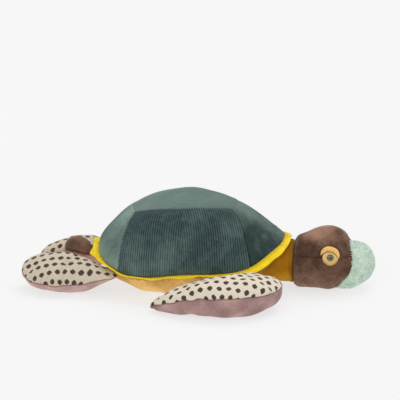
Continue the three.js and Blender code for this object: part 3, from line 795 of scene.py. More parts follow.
@dataclass(frozen=True)
class Corduroy(Finish):
    """Ribbed pile cloth. The rib attribute counts ribs across the piece, and a second attribute mixes in a
    lighter brushed copy: painted light and sheen, with some brushed pile.
    """

    groove: str
    crest: str
    brushed_groove: str
    brushed_crest: str
    seam: float = 0.55
    scatter: float = 12.9898

    def paint(self, b: PaintBench) -> None:
        """Lays out the nodes: dark grooves, partly painted shade in the recesses, and lighter crests that
        differ from rib to rib.

        Args:
            b: the material's bench.
        """
        pile = b.brushed(110.0, 1100.0, 0.9)
        rib = b.attribute("rib")
        off = b.math("MULTIPLY_ADD", b.math("FRACT", rib), 2.0, -1.0)
        crest = b.math("SUBTRACT", 1.0, b.math("MULTIPLY", off, off))
        own = b.math("SINE", b.math("MULTIPLY", b.math("FLOOR", rib), self.scatter))
        worn = b.math("MULTIPLY_ADD", own, 0.08, b.math("MULTIPLY_ADD", pile["Shade"], 0.3, -0.1))
        crest = b.math("ADD", crest, worn, clamp=True)
        # Grooves darker than crests, partly painted shade; the lighter brushed copy is painted light and
        # sheen; the seams get painted shade.
        plain = b.mix(crest, colour(self.groove), colour(self.crest))
        brushed = b.mix(crest, colour(self.brushed_groove), colour(self.brushed_crest))
        swing = b.math("SUBTRACT", pile["Shade"], 0.5)
        lie = b.math("MULTIPLY_ADD", swing, 0.16, b.attribute("nap"), clamp=True)
        base = b.sewn(b.mix(lie, plain, brushed), "31403e", self.seam, 0.35)
        b.cloth(base, pile["Height"], 0.0005, 0.95, 0.15, "cfe0da")


@dataclass(frozen=True)
class SpottedCotton(Finish):
    """Canvas printed with staggered spots, on the piece's cloth map."""

    name: str = "spotted_cotton"
    ground: str = "f7f0e2"
    fleck: str = "cdbda2"
    spot: str = "3c302a"
    worn_spot: str = "6a5548"
    spacing: float = 0.147
    row: float = 0.148
    slant: float = 0.36
    radius: float = 0.0425
    squareness: float = 2.8

    def paint(self, b: PaintBench) -> None:
        """Lays out the nodes.

        Args:
            b: the material's bench.
        """
        flat = b.cloth_map()
        weave = b.group(b.effects.weave, {"Vector": flat, "Threads": 130.0})
        split = b.node("ShaderNodeSeparateXYZ", {0: flat}).outputs
        blur = b.math("MULTIPLY_ADD", b.noise(flat, 90.0, 2.0), 0.008, -0.004)
        line = b.math("DIVIDE", b.math("ADD", split[1], blur), self.row)
        across = b.math("DIVIDE", split[0], self.spacing)
        across = b.math("MULTIPLY_ADD", b.math("FLOOR", line), self.slant, across)
        du, dv = (
            b.math("MULTIPLY", b.math("SUBTRACT", b.math("FRACT", value), 0.5), size)
            for value, size in ((across, self.spacing), (line, self.row))
        )
        corners = (b.math("ADD", du, dv), b.math("SUBTRACT", du, dv))
        powers = (b.math("POWER", b.math("ABSOLUTE", c), self.squareness) for c in corners)
        reach = b.math("MULTIPLY", b.math("POWER", b.math("ADD", *powers), 1 / self.squareness), 0.76)
        edge = b.math("MULTIPLY_ADD", b.noise(flat, 120.0, 2.0), 0.01, self.radius - 0.005)
        mask = b.span(b.math("SUBTRACT", edge, reach), -0.0035, 0.0035)
        ground = b.mix(b.span(weave["Slub"], 0.36, 0.64), colour(self.fleck), colour(self.ground))
        ink = b.mix(b.span(weave["Slub"], 0.4, 0.7), colour(self.spot), colour(self.worn_spot))
        # Painted shade, pinkish, near the seam.
        base = b.sewn(b.mix(mask, ground, ink), "b48d84", 0.45, 0.4)
        b.cloth(base, weave["Height"], 0.00025, 0.92, 0.1, "fff4e6")


@dataclass(frozen=True)
class WovenTape(Finish):
    """Cotton bias tape."""

    name: str = "tape"
    shade: str = "dcab00"
    bright: str = "ffe21a"

    def paint(self, b: PaintBench) -> None:
        """Lays out the nodes.

        Args:
            b: the material's bench.
        """
        weave = b.group(b.effects.weave, {"Vector": b.cloth_map(), "Threads": 170.0})
        wear = b.math("MULTIPLY", b.noise(b.place(), 60.0, 3.0), 0.75)
        tone = b.math("MULTIPLY_ADD", weave["Slub"], 0.35, wear, clamp=True)
        base = b.mix(b.span(tone, 0.2, 0.7), colour(self.shade), colour(self.bright))
        # Painted shade where the tape folds against the rim seam.
        base = b.sewn(base, "a06f00", 0.55, 0.5, over=False)
        b.cloth(base, weave["Height"], 0.00025, 0.85, 0.15, "fff0c0")


@dataclass(frozen=True)
class Felt(Finish):
    """Pressed wool felt. The seam attribute darkens it toward its edge, and another attribute paints light
    over it.
    """

    dark: str
    light: str
    edge: str

    def paint(self, b: PaintBench) -> None:
        """Lays out the nodes.

        Args:
            b: the material's bench.
        """
        pile = b.brushed(220.0, 1500.0, 0.6)
        nap = b.math("MULTIPLY", b.attribute("nap"), 0.6)
        shade = b.math("MULTIPLY_ADD", pile["Shade"], 0.5, nap, clamp=True)
        base = b.mix(shade, colour(self.dark), colour(self.light))
        base = b.sewn(base, self.edge, 0.85, 0.45, over=False)
        b.cloth(base, pile["Height"], 0.0003, 0.95, 0.2, "ffe9c0")


@dataclass(frozen=True)
class Boucle(Finish):
    """Looped pile yarn with a few darker loops. The tone attribute differs from loop to loop."""

    name: str = "mint_loops"
    dark: str = "acceb7"
    light: str = "fcfff8"
    fleck: str = "5f8f78"

    def paint(self, b: PaintBench) -> None:
        """Lays out the nodes.

        Args:
            b: the material's bench.
        """
        pile = b.brushed(90.0, 1300.0, 0.8)
        tone = b.math("MULTIPLY", b.attribute("tone"), 0.55)
        shade = b.math("MULTIPLY_ADD", pile["Shade"], 0.45, tone, clamp=True)
        base = b.mix(shade, colour(self.dark), colour(self.light))
        fleck = b.math("MULTIPLY", b.span(b.noise(b.place(), 300.0, 1.0), 0.72, 0.79), 0.6)
        b.cloth(b.mix(fleck, base, colour(self.fleck)), pile["Height"], 0.0004, 0.95, 0.6, "f2fff6")


@dataclass(frozen=True)
class GlassyBead(Finish):
    """The eye bead: dark, with an olive ring under a clear coat. The attribute runs out from the middle."""

    name: str = "bead"
    dark: str = "0d0b09"
    iris: str = "8f8c5c"

    def paint(self, b: PaintBench) -> None:
        """Lays out the nodes.

        Args:
            b: the material's bench.
        """
        place = b.place()
        uneven = b.math("MULTIPLY_ADD", b.noise(place, 700.0, 2.0), 0.1, -0.05)
        out = b.math("ADD", b.attribute("ring"), uneven)
        iris = b.math("SUBTRACT", b.span(out, 0.52, 0.6), b.span(out, 0.74, 0.82))
        b.feed(b.shader.inputs["Base Color"], b.mix(iris, colour(self.dark), colour(self.iris)))
        rough = b.math("MULTIPLY_ADD", b.noise(place, 300.0, 2.0), 0.08, 0.1)
        b.feed(b.shader.inputs["Roughness"], rough)
        b.shader.inputs["Coat Weight"].default_value = 1.0
        b.shader.inputs["Coat Roughness"].default_value = 0.04


@dataclass(frozen=True)
class Thread(Finish):
    """Sewing thread."""

    tint: str

    def paint(self, b: PaintBench) -> None:
        """Lays out the nodes.

        Args:
            b: the material's bench.
        """
        pile = b.brushed(400.0, 2500.0, 0.7)
        shaded = b.mix(1.0, colour(self.tint), colour("8c8c8c"), "MULTIPLY")
        base = b.mix(pile["Shade"], shaded, colour(self.tint))
        b.cloth(base, pile["Height"], 0.0001, 0.7, 0.1, "ffffff")


class Finishes:
    """Every material of the turtle, by name."""

    def __init__(self) -> None:
        """Builds them."""
        effects = Effects()
        finishes = (
            # corduroy_top is a lighter copy of the side corduroy for the top panel, partly painted light from
            # above.
            Corduroy("corduroy", "0e1a1c", "3c4f50", "46615c", "98b0a9"),
            Corduroy("corduroy_end", "14211f", "30403f", "50695f", "8fa79f", seam=0.4),
            Corduroy("corduroy_top", "4c5e56", "5d746c", "6c8079", "7f948c", seam=0.2),
            WovenTape(),
            Velvet("mustard_velour", "8a5808", "ffcf7e", 30.0, 900.0, 0.7, 0.25, "ffe2a8"),
            Velvet("neck_velour", "8a5400", "dba01c", 30.0, 900.0, 0.7, 0.15, "ffd890"),
            Velvet("brown_pile", "4d352a", "b38a74", 70.0, 700.0, 1.0, 0.4, "e8cdb8", 0.0009, swing=0.3),
            Velvet("pink_velvet", "80605c", "c6a39e", 36.0, 900.0, 0.9, 0.45, "f5dcd8"),
            SpottedCotton(),
            SpottedCotton("spotted_cotton_rear", "e4dbca", "b9a88c", spacing=0.128, row=0.165),
            Boucle(),
            Felt("felt", "b9801e", "ead093", "7a4a12"),
            Felt("lid_felt", "d08a1e", "fdd184", "6b3f10"),
            GlassyBead(),
            Thread("yellow_thread", "e0ad10"),
            Thread("mauve_thread", "8b5f58"),
            Thread("brown_thread", "2e1d15"),
        )
        self.materials = {finish.name: finish.build(effects) for finish in finishes}

    def __getitem__(self, name: str) -> Material:
        """The material of this name."""
        return self.materials[name]


class NodeTools:
    """The Geometry Nodes trees that make what repeats, each built once."""

    def __init__(self) -> None:
        """Builds the trees."""
        self.ribs = self._ribs()
        self.stitches = self._stitches()
        self.loops = self._loops()

    @staticmethod
    def _start(name: str, **inputs: Any) -> tuple[Tree, Bench, Any, Any]:
        """Starts a tree that takes a shape, sizes and a material, as new_group does."""
        whole = {"Geometry": "NodeSocketGeometry", **inputs, "Material": "NodeSocketMaterial"}
        return new_group(name, whole, {"Geometry": "NodeSocketGeometry"}, "GeometryNodeTree")

    @staticmethod
    def _end(b: Bench, geometry: Any, material: Any, output: Any) -> None:
        """Ends a tree in Realize Instances and Set Material."""
        real = b.node("GeometryNodeRealizeInstances", {0: geometry}).outputs[0]
        b.feed(output, b.node("GeometryNodeSetMaterial", {"Geometry": real, "Material": material}).outputs[0])

    def _ribs(self) -> Tree:
        """Raises the ribs of corduroy from the rib attribute, fading them in the seams.

        Returns:
            The tree.
        """
        tree, b, i, o = self._start("corduroy_ribs", Height=0.0009)
        keys = ("rib", "seam")
        rib, seam = (b.node("GeometryNodeInputNamedAttribute", {"Name": key}).outputs[0] for key in keys)
        off = b.math("MULTIPLY_ADD", b.math("FRACT", rib), 2.0, -1.0)
        wale = b.math("SQRT", b.math("SUBTRACT", 1.0, b.math("MULTIPLY", off, off), clamp=True))
        fade = b.math("MULTIPLY", seam, 2.5, clamp=True)
        height = b.math("MULTIPLY", b.math("MULTIPLY", wale, i["Height"]), fade)
        normal = b.node("GeometryNodeInputNormal").outputs[0]
        offset = b.node("ShaderNodeVectorMath", {0: normal, "Scale": height}, operation="SCALE").outputs[0]
        moved = b.node("GeometryNodeSetPosition", {"Geometry": i["Geometry"], "Offset": offset}).outputs[0]
        self._end(b, moved, i["Material"], o["Geometry"])
        return tree

    def _stitches(self) -> Tree:
        """Lays a row of round-ended stitches along a line.

        Returns:
            The tree.
        """
        tree, b, i, o = self._start("stitch_row", Pitch=0.003, Length=0.0021, Thickness=0.0005)
        curve = b.node("GeometryNodeMeshToCurve", {0: i["Geometry"]}).outputs[0]
        spaced = {"Curve": curve, "Length": i["Pitch"]}
        sampled = b.node("GeometryNodeCurveToPoints", spaced, mode="LENGTH").outputs
        stitch = b.node("GeometryNodeMeshUVSphere", {"Segments": 6, "Rings": 5, "Radius": 0.5}).outputs[0]
        thick = i["Thickness"]
        size = b.node("ShaderNodeCombineXYZ", {0: thick, 1: thick, 2: i["Length"]}).outputs[0]
        values = {"Points": sampled[0], "Instance": stitch, "Rotation": sampled["Rotation"], "Scale": size}
        placed = b.node("GeometryNodeInstanceOnPoints", values).outputs[0]
        self._end(b, placed, i["Material"], o["Geometry"])
        return tree

    def _loops(self) -> Tree:
        """Covers a surface with small loops of yarn that stand out of it, each with its own tone.

        Returns:
            The tree.
        """
        sizes = {"Gap": 0.002, "Density": 160000.0, "Radius": 0.0013, "Yarn": 0.0006, "Seed": 7}
        tree, b, i, o = self._start("yarn_loops", **sizes)
        values = {
            "Mesh": i["Geometry"],
            "Distance Min": i["Gap"],
            "Density Max": i["Density"],
            "Seed": i["Seed"],
        }
        spread = b.node("GeometryNodeDistributePointsOnFaces", values, distribute_method="POISSON").outputs
        circle, profile = (
            b.node("GeometryNodeCurvePrimitiveCircle", {"Resolution": count, "Radius": radius}).outputs[0]
            for count, radius in ((8, i["Radius"]), (4, i["Yarn"]))
        )
        loop = b.node("GeometryNodeCurveToMesh", {"Curve": circle, "Profile Curve": profile}).outputs[0]
        seeds = [i["Seed"], *(b.math("ADD", i["Seed"], step) for step in (1, 2))]
        values = {0: (0.2, -3.14, -3.14), 1: (1.2, 3.14, 3.14), "Seed": seeds[1]}
        tilt = b.node("FunctionNodeRandomValue", values, data_type="FLOAT_VECTOR").outputs[0]
        euler = b.node("FunctionNodeEulerToRotation", {0: tilt}).outputs[0]
        values = {0: spread["Rotation"], 1: euler}
        turned = b.node("FunctionNodeRotateRotation", values, rotation_space="LOCAL").outputs[0]
        size, tone = (
            b.node("FunctionNodeRandomValue", {2: low, 3: high, "Seed": seed}, data_type="FLOAT").outputs[1]
            for low, high, seed in ((0.7, 1.25, seeds[0]), (0.0, 1.0, seeds[2]))
        )
        values = {"Points": spread["Points"], "Instance": loop, "Rotation": turned, "Scale": size}
        placed = b.node("GeometryNodeInstanceOnPoints", values).outputs[0]
        ground, toned = (
            b.node(
                "GeometryNodeStoreNamedAttribute",
                {"Geometry": geometry, "Name": "tone", "Value": value},
                data_type="FLOAT",
                domain=domain,
            ).outputs[0]
            for geometry, value, domain in ((i["Geometry"], 0.25, "POINT"), (placed, tone, "INSTANCE"))
        )
        real = b.node("GeometryNodeRealizeInstances", {0: toned}).outputs[0]
        both = b.node("GeometryNodeJoinGeometry")
        for part in (ground, b.node("GeometryNodeSetShadeSmooth", {"Geometry": real}).outputs[0]):
            b.tree.links.new(part, both.inputs[0])
        self._end(b, both.outputs[0], i["Material"], o["Geometry"])
        return tree

    @staticmethod
    def apply(piece: Piece, tree: Tree, values: dict[str, Any]) -> Piece:
        """Runs a tree on a piece and keeps the result as its plain mesh.

        Args:
            piece: the object that the tree takes.
            tree: the tree.
            values: its inputs by name, set on the modifier by identifier.

        Returns:
            The piece.
        """
        modifier = piece.modifiers.new(tree.name, "NODES")
        modifier.node_group = tree
        for socket in tree.interface.items_tree:
            if socket.in_out == "INPUT" and socket.name in values:
                modifier[socket.identifier] = values[socket.name]
        graph = bpy.context.evaluated_depsgraph_get()
        graph.update()
        result = piece.evaluated_get(graph)
        mesh = bpy.data.meshes.new_from_object(result, preserve_all_data_layers=True, depsgraph=graph)
        piece.modifiers.clear()
        piece.data = mesh
        mesh.name = piece.name
        return piece

    def sew(
        self, name: str, points: Array, size: Sequence[float], thread: Material, closed: bool = False
    ) -> Piece:
        """Lays a row of stitches along a line.

        Args:
            name: the row's name.
            points: the line, in mm.
            size: the pitch, length and thickness of the stitches, in mm.
            thread: their material.
            closed: whether the line joins up.

        Returns:
            The row.
        """
        count = len(points)
        edges = [(i, (i + 1) % count) for i in range(count if closed else count - 1)]
        values: dict[str, Any] = {key: s * MM for key, s in zip(("Pitch", "Length", "Thickness"), size)}
        return self.apply(new_piece(name, points, edges, []), self.stitches, {**values, "Material": thread})


# The forms, as the solid model has them


@dataclass(frozen=True)
class BodyForm:
    """The form of shell and belly, in mm."""

    front_reach: float = 145
    rear_reach: float = 135
    half_width: float = 118
    height: float = 146
    rim_height: float = 44
    top_front: float = 68
    top_rear: float = 79
    top_half_width: float = 58
    plan_power: float = 2.3
    rim_angles: tuple[float, ...] = (0, 25, 45, 90, 130, 155, 180)
    rim_heights: tuple[float, ...] = (1.74, 1.52, 1.12, 1, 0.82, 1.08, 1.36)
    droop_angles: tuple[float, ...] = (0, 36, 62, 90, 180)
    droops: tuple[float, ...] = (-24, 30, 6, 0, 0)
    dome_side: float = 0.55
    dome_front: float = 1.0
    dome_rear: float = 0.7
    belly_plan: float = 3.3
    belly_side: float = 0.8
    gap: float = 1.4
    clearance: float = 0.5
    yield_soft: float = 1.5
    flat_cut: float = 0.5
    tape_width: float = 12
    tape_thickness: float = 2.2
    crease_deg: float = 38
    seam_degs: tuple[float, ...] = (42.5, 89, 138.5)
    seam_sweep: float = 2.4
    top_corners: tuple[tuple[float, float], ...] = ((1, 0.5), (-0.04, 1), (-1, 0.56))
    top_bow: float = 5

    @staticmethod
    def from_nose(angle: Array) -> Array:
        """Degrees from the nose, on either side."""
        return np.abs(np.degrees(np.arctan2(np.sin(angle), np.cos(angle))))

    def rim_radius(self, angle: Array) -> Array:
        """Distance of the rim seam from the middle, in plan.

        Args:
            angle: the turn round the middle from the nose, in radians.

        Returns:
            The distance in mm.
        """
        reach = np.where(np.cos(angle) > 0, self.front_reach, self.rear_reach)
        along, across = np.abs(np.cos(angle)) / reach, np.abs(np.sin(angle)) / self.half_width
        return (along**self.plan_power + across**self.plan_power) ** (-1 / self.plan_power)

    def seam_height(self, angle: Array) -> Array:
        """Height of the rim seam."""
        return self.rim_height * smooth_table(self.rim_angles, self.rim_heights, self.from_nose(angle))

    def droop(self, angle: Array) -> Array:
        """How far the tape hangs below level, in radians."""
        return np.radians(smooth_table(self.droop_angles, self.droops, self.from_nose(angle)))

    def rim_point(self, angle: Array) -> Array:
        """Points of the rim seam."""
        return turned(self.rim_radius(angle), angle, self.seam_height(angle))

    def rim_outward(self, angle: Array) -> Array:
        """Level directions straight out of the rim.

        Args:
            angle: the turn round the middle from the nose, in radians.

        Returns:
            The directions, of length 1.
        """
        tangent = self.rim_point(angle + 0.01) - self.rim_point(angle - 0.01)
        out = np.stack([tangent[..., 1], -tangent[..., 0], np.zeros_like(tangent[..., 0])], axis=-1)
        return out / np.linalg.norm(out, axis=-1, keepdims=True)

    def dome_height(self, angle: Array, reach: Array) -> Array:
        """Height of the shell at a share of the way out to the rim.

        Args:
            angle: the turn round the middle from the nose, in radians.
            reach: the share of the way out to the rim.

        Returns:
            The height in mm.
        """
        ahead = np.cos(angle) ** 2
        end = np.where(np.cos(angle) > 0, self.dome_front, self.dome_rear)
        power = self.dome_side + (end - self.dome_side) * ahead
        base = self.seam_height(angle) + self.gap
        return base + (self.height - base) * np.maximum(0, 1 - reach**2) ** power

    def belly_height(self, angle: Array, reach: Array) -> Array:
        """Height of the underside at a share of the way out to the rim.

        Args:
            angle: the turn round the middle from the nose, in radians.
            reach: the share of the way out to the rim.

        Returns:
            The height in mm.
        """
        base = self.seam_height(angle) - self.gap
        fall = np.maximum(0, 1 - reach**self.belly_plan) ** self.belly_side
        return np.maximum(0, base - (base + self.flat_cut) * fall)

    def belly_reach(self, angle: Array, height: Array) -> Array:
        """Distance of the underside from the middle at a height, the other way round.

        Args:
            angle: the turn round the middle from the nose, in radians.
            height: the height in mm.

        Returns:
            The distance in mm.
        """
        base = self.seam_height(angle) - self.gap
        fall = np.clip((base - height) / (base + self.flat_cut), 0, 1)
        out = np.maximum(0, 1 - fall ** (1 / self.belly_side)) ** (1 / self.belly_plan)
        return self.rim_radius(angle) * out

    def corners(self) -> list[tuple[float, float, float]]:
        """The top panel's corners with the angles of their seams, once round from the right front.

        Returns:
            Each corner's x and y in mm, and where its seam meets the rim.
        """
        half = [
            (a * (self.top_front if a > 0 else self.top_rear), c * self.top_half_width, math.radians(d))
            for (a, c), d in zip(self.top_corners, self.seam_degs)
        ]
        right = [(x, -y, -rim) for x, y, rim in half]
        return right + [(x, y, rim - math.tau) for x, y, rim in reversed(half)]

    def keep_clear(self, points: Array) -> Array:
        """Moves a limb's points clear of the belly, and of the tape and the crease above it.

        Args:
            points: places in mm.

        Returns:
            The places, moved where they had to be.
        """
        made = points.copy()
        angle = np.arctan2(made[..., 1], made[..., 0])
        out = np.hypot(made[..., 0], made[..., 1]) - self.rim_radius(angle)
        droop, seam = self.droop(angle), self.seam_height(angle)
        half = self.tape_thickness / 2 + self.clearance
        edge = self.tape_width * np.cos(droop) + self.clearance
        under = seam - half - np.clip(out, 0, edge) * np.tan(droop)
        limit = under + np.maximum(0, out - edge) / math.tan(math.radians(self.crease_deg)) * 1.1
        limit = limit - 2.0 * np.exp(-np.abs(out - edge) / 5)
        made[..., 2] = limit - self.yield_soft * np.logaddexp(0, (limit - made[..., 2]) / self.yield_soft)
        inward = self.belly_reach(angle, np.minimum(made[..., 2], seam - half)) + self.clearance
        radius = np.hypot(made[..., 0], made[..., 1])
        push = np.maximum(radius, inward) / np.maximum(radius, 1e-6)
        made[..., 0] *= push
        made[..., 1] *= push
        made[..., 2] = np.maximum(made[..., 2], 0.3)
        return made


BODY = BodyForm()
BODY_MIDDLE = (0.0, 0.0, 44.0)
END_PANELS = ("front_panel", "rear_panel")
RIB_SHARES = {"top_panel": 0.2, "front_panel": 0.35}


@dataclass
class Shell:
    """The corduroy panels of the shell."""

    finishes: Finishes
    tools: NodeTools
    rib_pitch: float = 3.6
    rib_height: float = 0.9
    points_a_rib: int = 6
    fan: float = 0.85
    faint: float = 1.8
    brushed_over: float = 3.2
    puff: float = 0.7
    tuck: float = 0.9
    lump: float = 0.6
    hollow: float = 3.2
    lip: float = 3.0

    def build(self) -> None:
        """Makes the top panel and the six side panels."""
        self._top_panel()
        names = ("right_front", "right_rear", "rear", "left_rear", "left_front", "front")
        for sector, name in enumerate(names):
            self._side_panel(sector, f"{name}_panel")

    def _finish(self, name: str, points: Array, rib: Array, edge: Array, nap: Array, slot: str) -> None:
        """Puffs a panel between its seams, rolls its edges in, raises its ribs and hands it over.

        Args:
            name: the panel's name.
            points: its points, in mm.
            rib: the count of ribs across it.
            edge: the distance from its seams, in mm.
            nap: how much painted light and sheen it shows, with brushed pile, 0 to 1.
            slot: its material slot.
        """
        normals = grid_normals(points, np.array(BODY_MIDDLE))
        low = 1 - smooth_step(90, 120, points[..., 2])
        tuck = self.tuck * (0.3 + 0.7 * low)
        swell = self.puff * (1 - np.exp(-edge / 9)) - tuck * hump(edge, 1.7)
        swell = swell - self.puff * 1.6 + self.lump * ripple(points, 60, 11) * smooth_step(2, 14, edge)
        ahead = hump(points[..., 0] - 100, 42)
        hollow = self.hollow * ahead * smooth_step(60, 90, points[..., 2])
        points = points + normals * (swell - hollow)[..., None]
        whole, inner = (np.pad(grid, ((1, 1), (1, 1), (0, 0)), mode="edge") for grid in (points, normals))
        rolled = np.pad(np.zeros(edge.shape), 1, constant_values=self.lip)
        numbers = {"rib": rib, "seam": smooth_step(0, 4.5, edge), "nap": nap}
        fields = {key: np.pad(values, 1, mode="edge") for key, values in numbers.items()}
        piece = grid_piece(name, whole - inner * rolled[..., None], BODY_MIDDLE, fields=fields)
        cloth = self.finishes["corduroy_end" if name in END_PANELS else slot]
        height = self.rib_height * RIB_SHARES.get(name, 1.0) * MM
        self.tools.apply(piece, self.tools.ribs, {"Height": height, "Material": cloth})
        dress(piece, "body", slot, [f"shell_{name}"])

    def _columns(self, width: float) -> int:
        """How many columns show the ribs over this width."""
        return int(width / self.rib_pitch * self.points_a_rib)

    def _top_panel(self) -> None:
        """The flat panel on top, with its ribs fore and aft."""
        corners = np.array(BODY.corners()[:3])[::-1, :2] * (1, -1)
        along = np.linspace(0, 1, 46)[:, None]
        sides = []
        for start, end in zip(corners, corners[1:]):
            chord = end - start
            out = np.array([-chord[1], chord[0]]) / np.linalg.norm(chord)
            sides.append(start + chord * along + out * 4 * BODY.top_bow * along * (1 - along))
        side = np.concatenate([sides[0], sides[1][1:]])
        share = np.linspace(-1, 1, self._columns(2 * BODY.top_half_width))
        reach = side[:, :1] / np.where(side[:, :1] > 0, BODY.top_front, BODY.top_rear)
        bow = BODY.top_bow * smooth_step(0.5, 1.0, np.abs(reach)) * np.sign(reach)
        x = side[:, :1] + bow * (1 - share[None, :] ** 2)
        y = side[:, 1:] * share[None, :]
        half = side[:, 1]
        angle = np.arctan2(y, x)
        z = BODY.dome_height(angle, np.hypot(x, y) / BODY.rim_radius(angle))
        points = np.stack([x, y, z], axis=-1)
        ends = np.minimum(x - x[:1], x[-1:] - x) + self.brushed_over
        edge = np.minimum(half[:, None] - np.abs(y), ends)
        # Painted light: paler toward the rear of the top panel and darker toward the front, with random tone.
        nap = 0.3 + 0.28 * smooth_step(0, 70, -x) - 0.18 * smooth_step(15, 60, x)
        nap = nap + 0.1 * ripple(points, 50, 5)
        self._finish("top_panel", points, y / self.rib_pitch, edge, np.clip(nap, 0, 1), "corduroy_top")

    def _side_panel(self, sector: int, name: str) -> None:
        """One panel from the top panel's edge down to the rim.

        Args:
            sector: the panel's number, round from the right front.
            name: its name.
        """
        corners = BODY.corners()
        start, end = corners[sector], corners[(sector + 1) % len(corners)]
        rim_end = end[2] - (math.tau if sector == len(corners) - 1 else 0)
        width = abs(rim_end - start[2]) * BODY.half_width
        s, t = np.meshgrid(np.linspace(0, 1, self._columns(width)), np.linspace(0, 1, 64))
        chord = np.array([end[0] - start[0], end[1] - start[1]])
        bow = 4 * BODY.top_bow * s * (1 - s) / math.hypot(*chord)
        top_x = start[0] + chord[0] * s - chord[1] * bow
        top_y = start[1] + chord[1] * s + chord[0] * bow
        rim = start[2] + (rim_end - start[2]) * s
        top_angle = np.arctan2(top_y, top_x)
        turn = np.arctan2(np.sin(rim - top_angle), np.cos(rim - top_angle))
        angle = top_angle + turn * (1 - (1 - t) ** BODY.seam_sweep)
        first = np.arcsin(np.hypot(top_x, top_y) / BODY.rim_radius(top_angle))
        reach = np.sin(first + (math.pi / 2 - first) * t)
        points = turned(BODY.rim_radius(angle) * reach, angle, BODY.dome_height(angle, reach))
        across, down = lengths_along(points, 1), lengths_along(points, 0)
        total = across[:, -1:]
        first_faint, last_faint = self._faint_edges(name)
        sides = np.minimum(across + first_faint, total - across + last_faint)
        over = self.brushed_over if name in END_PANELS else 0.5
        edge = np.minimum(sides, np.minimum(down + over, (down[-1:] - down) + 1.5))
        middle = (s - 0.5) * (total.min() + (total - total.min()) * self.fan)
        rib = middle / self.rib_pitch + 40.5
        self._finish(name, points, rib, edge, self._nap(points, t, name), "corduroy")

    def _faint_edges(self, name: str) -> tuple[float, float]:
        """How much flatter the panel's first and last side seams lie than the others.

        Args:
            name: the panel's name.

        Returns:
            What is added to the distance from each of the two seams, in mm.
        """
        if name in ("right_front_panel", "left_rear_panel"):
            return 0.0, self.faint
        if name in ("right_rear_panel", "left_front_panel"):
            return self.faint, 0.0
        return 0.0, 0.0

    @staticmethod
    def _nap(points: Array, down: Array, name: str) -> Array:
        """Painted light and sheen on a side panel, with brushed pile and random tone: pale at the top and
        foot of the rear panel, toward the top and the middle of the front panel, and toward the rear of the
        other panels.

        Args:
            points: its points, in mm.
            down: the share of the way from the top panel's edge to the rim.
            name: its name.

        Returns:
            The painted light and sheen, with brushed pile, 0 to 1.
        """
        if name == "rear_panel":
            # Painted light: pale at the top and the foot of the rear panel.
            lie = 0.97 - 0.42 * smooth_step(0.0, 0.45, down) + 0.5 * smooth_step(0.55, 1.0, down)
            return np.clip(lie + 0.06 * ripple(points, 45, 23), 0, 1)
        if name == "front_panel":
            # Painted light and sheen: paler toward the top, and toward the middle at the front panel's
            # silhouette.
            lie = 0.25 - 0.25 * smooth_step(0.0, 0.42, down)
            lie = lie + 0.36 * smooth_step(-40, -4, -np.abs(points[..., 1]))
            return np.clip(lie + 0.05 * ripple(points, 24, 23) * smooth_step(0, 0.3, down), 0, 1)
        # Painted light: the other panels paler toward the rear, more so low down.
        behind = smooth_step(-30, 40, -points[..., 0])
        middle = hump(down - 0.55, 0.2)
        paler = -0.05 + 0.2 * smooth_step(0.25, 0.95, down) + 0.08 * middle
        lie = 0.05 + 0.05 * smooth_step(0.5, 1.0, down) + behind * paler
        return np.clip(lie + 0.03 * ripple(points, 40, 23), 0, 1)


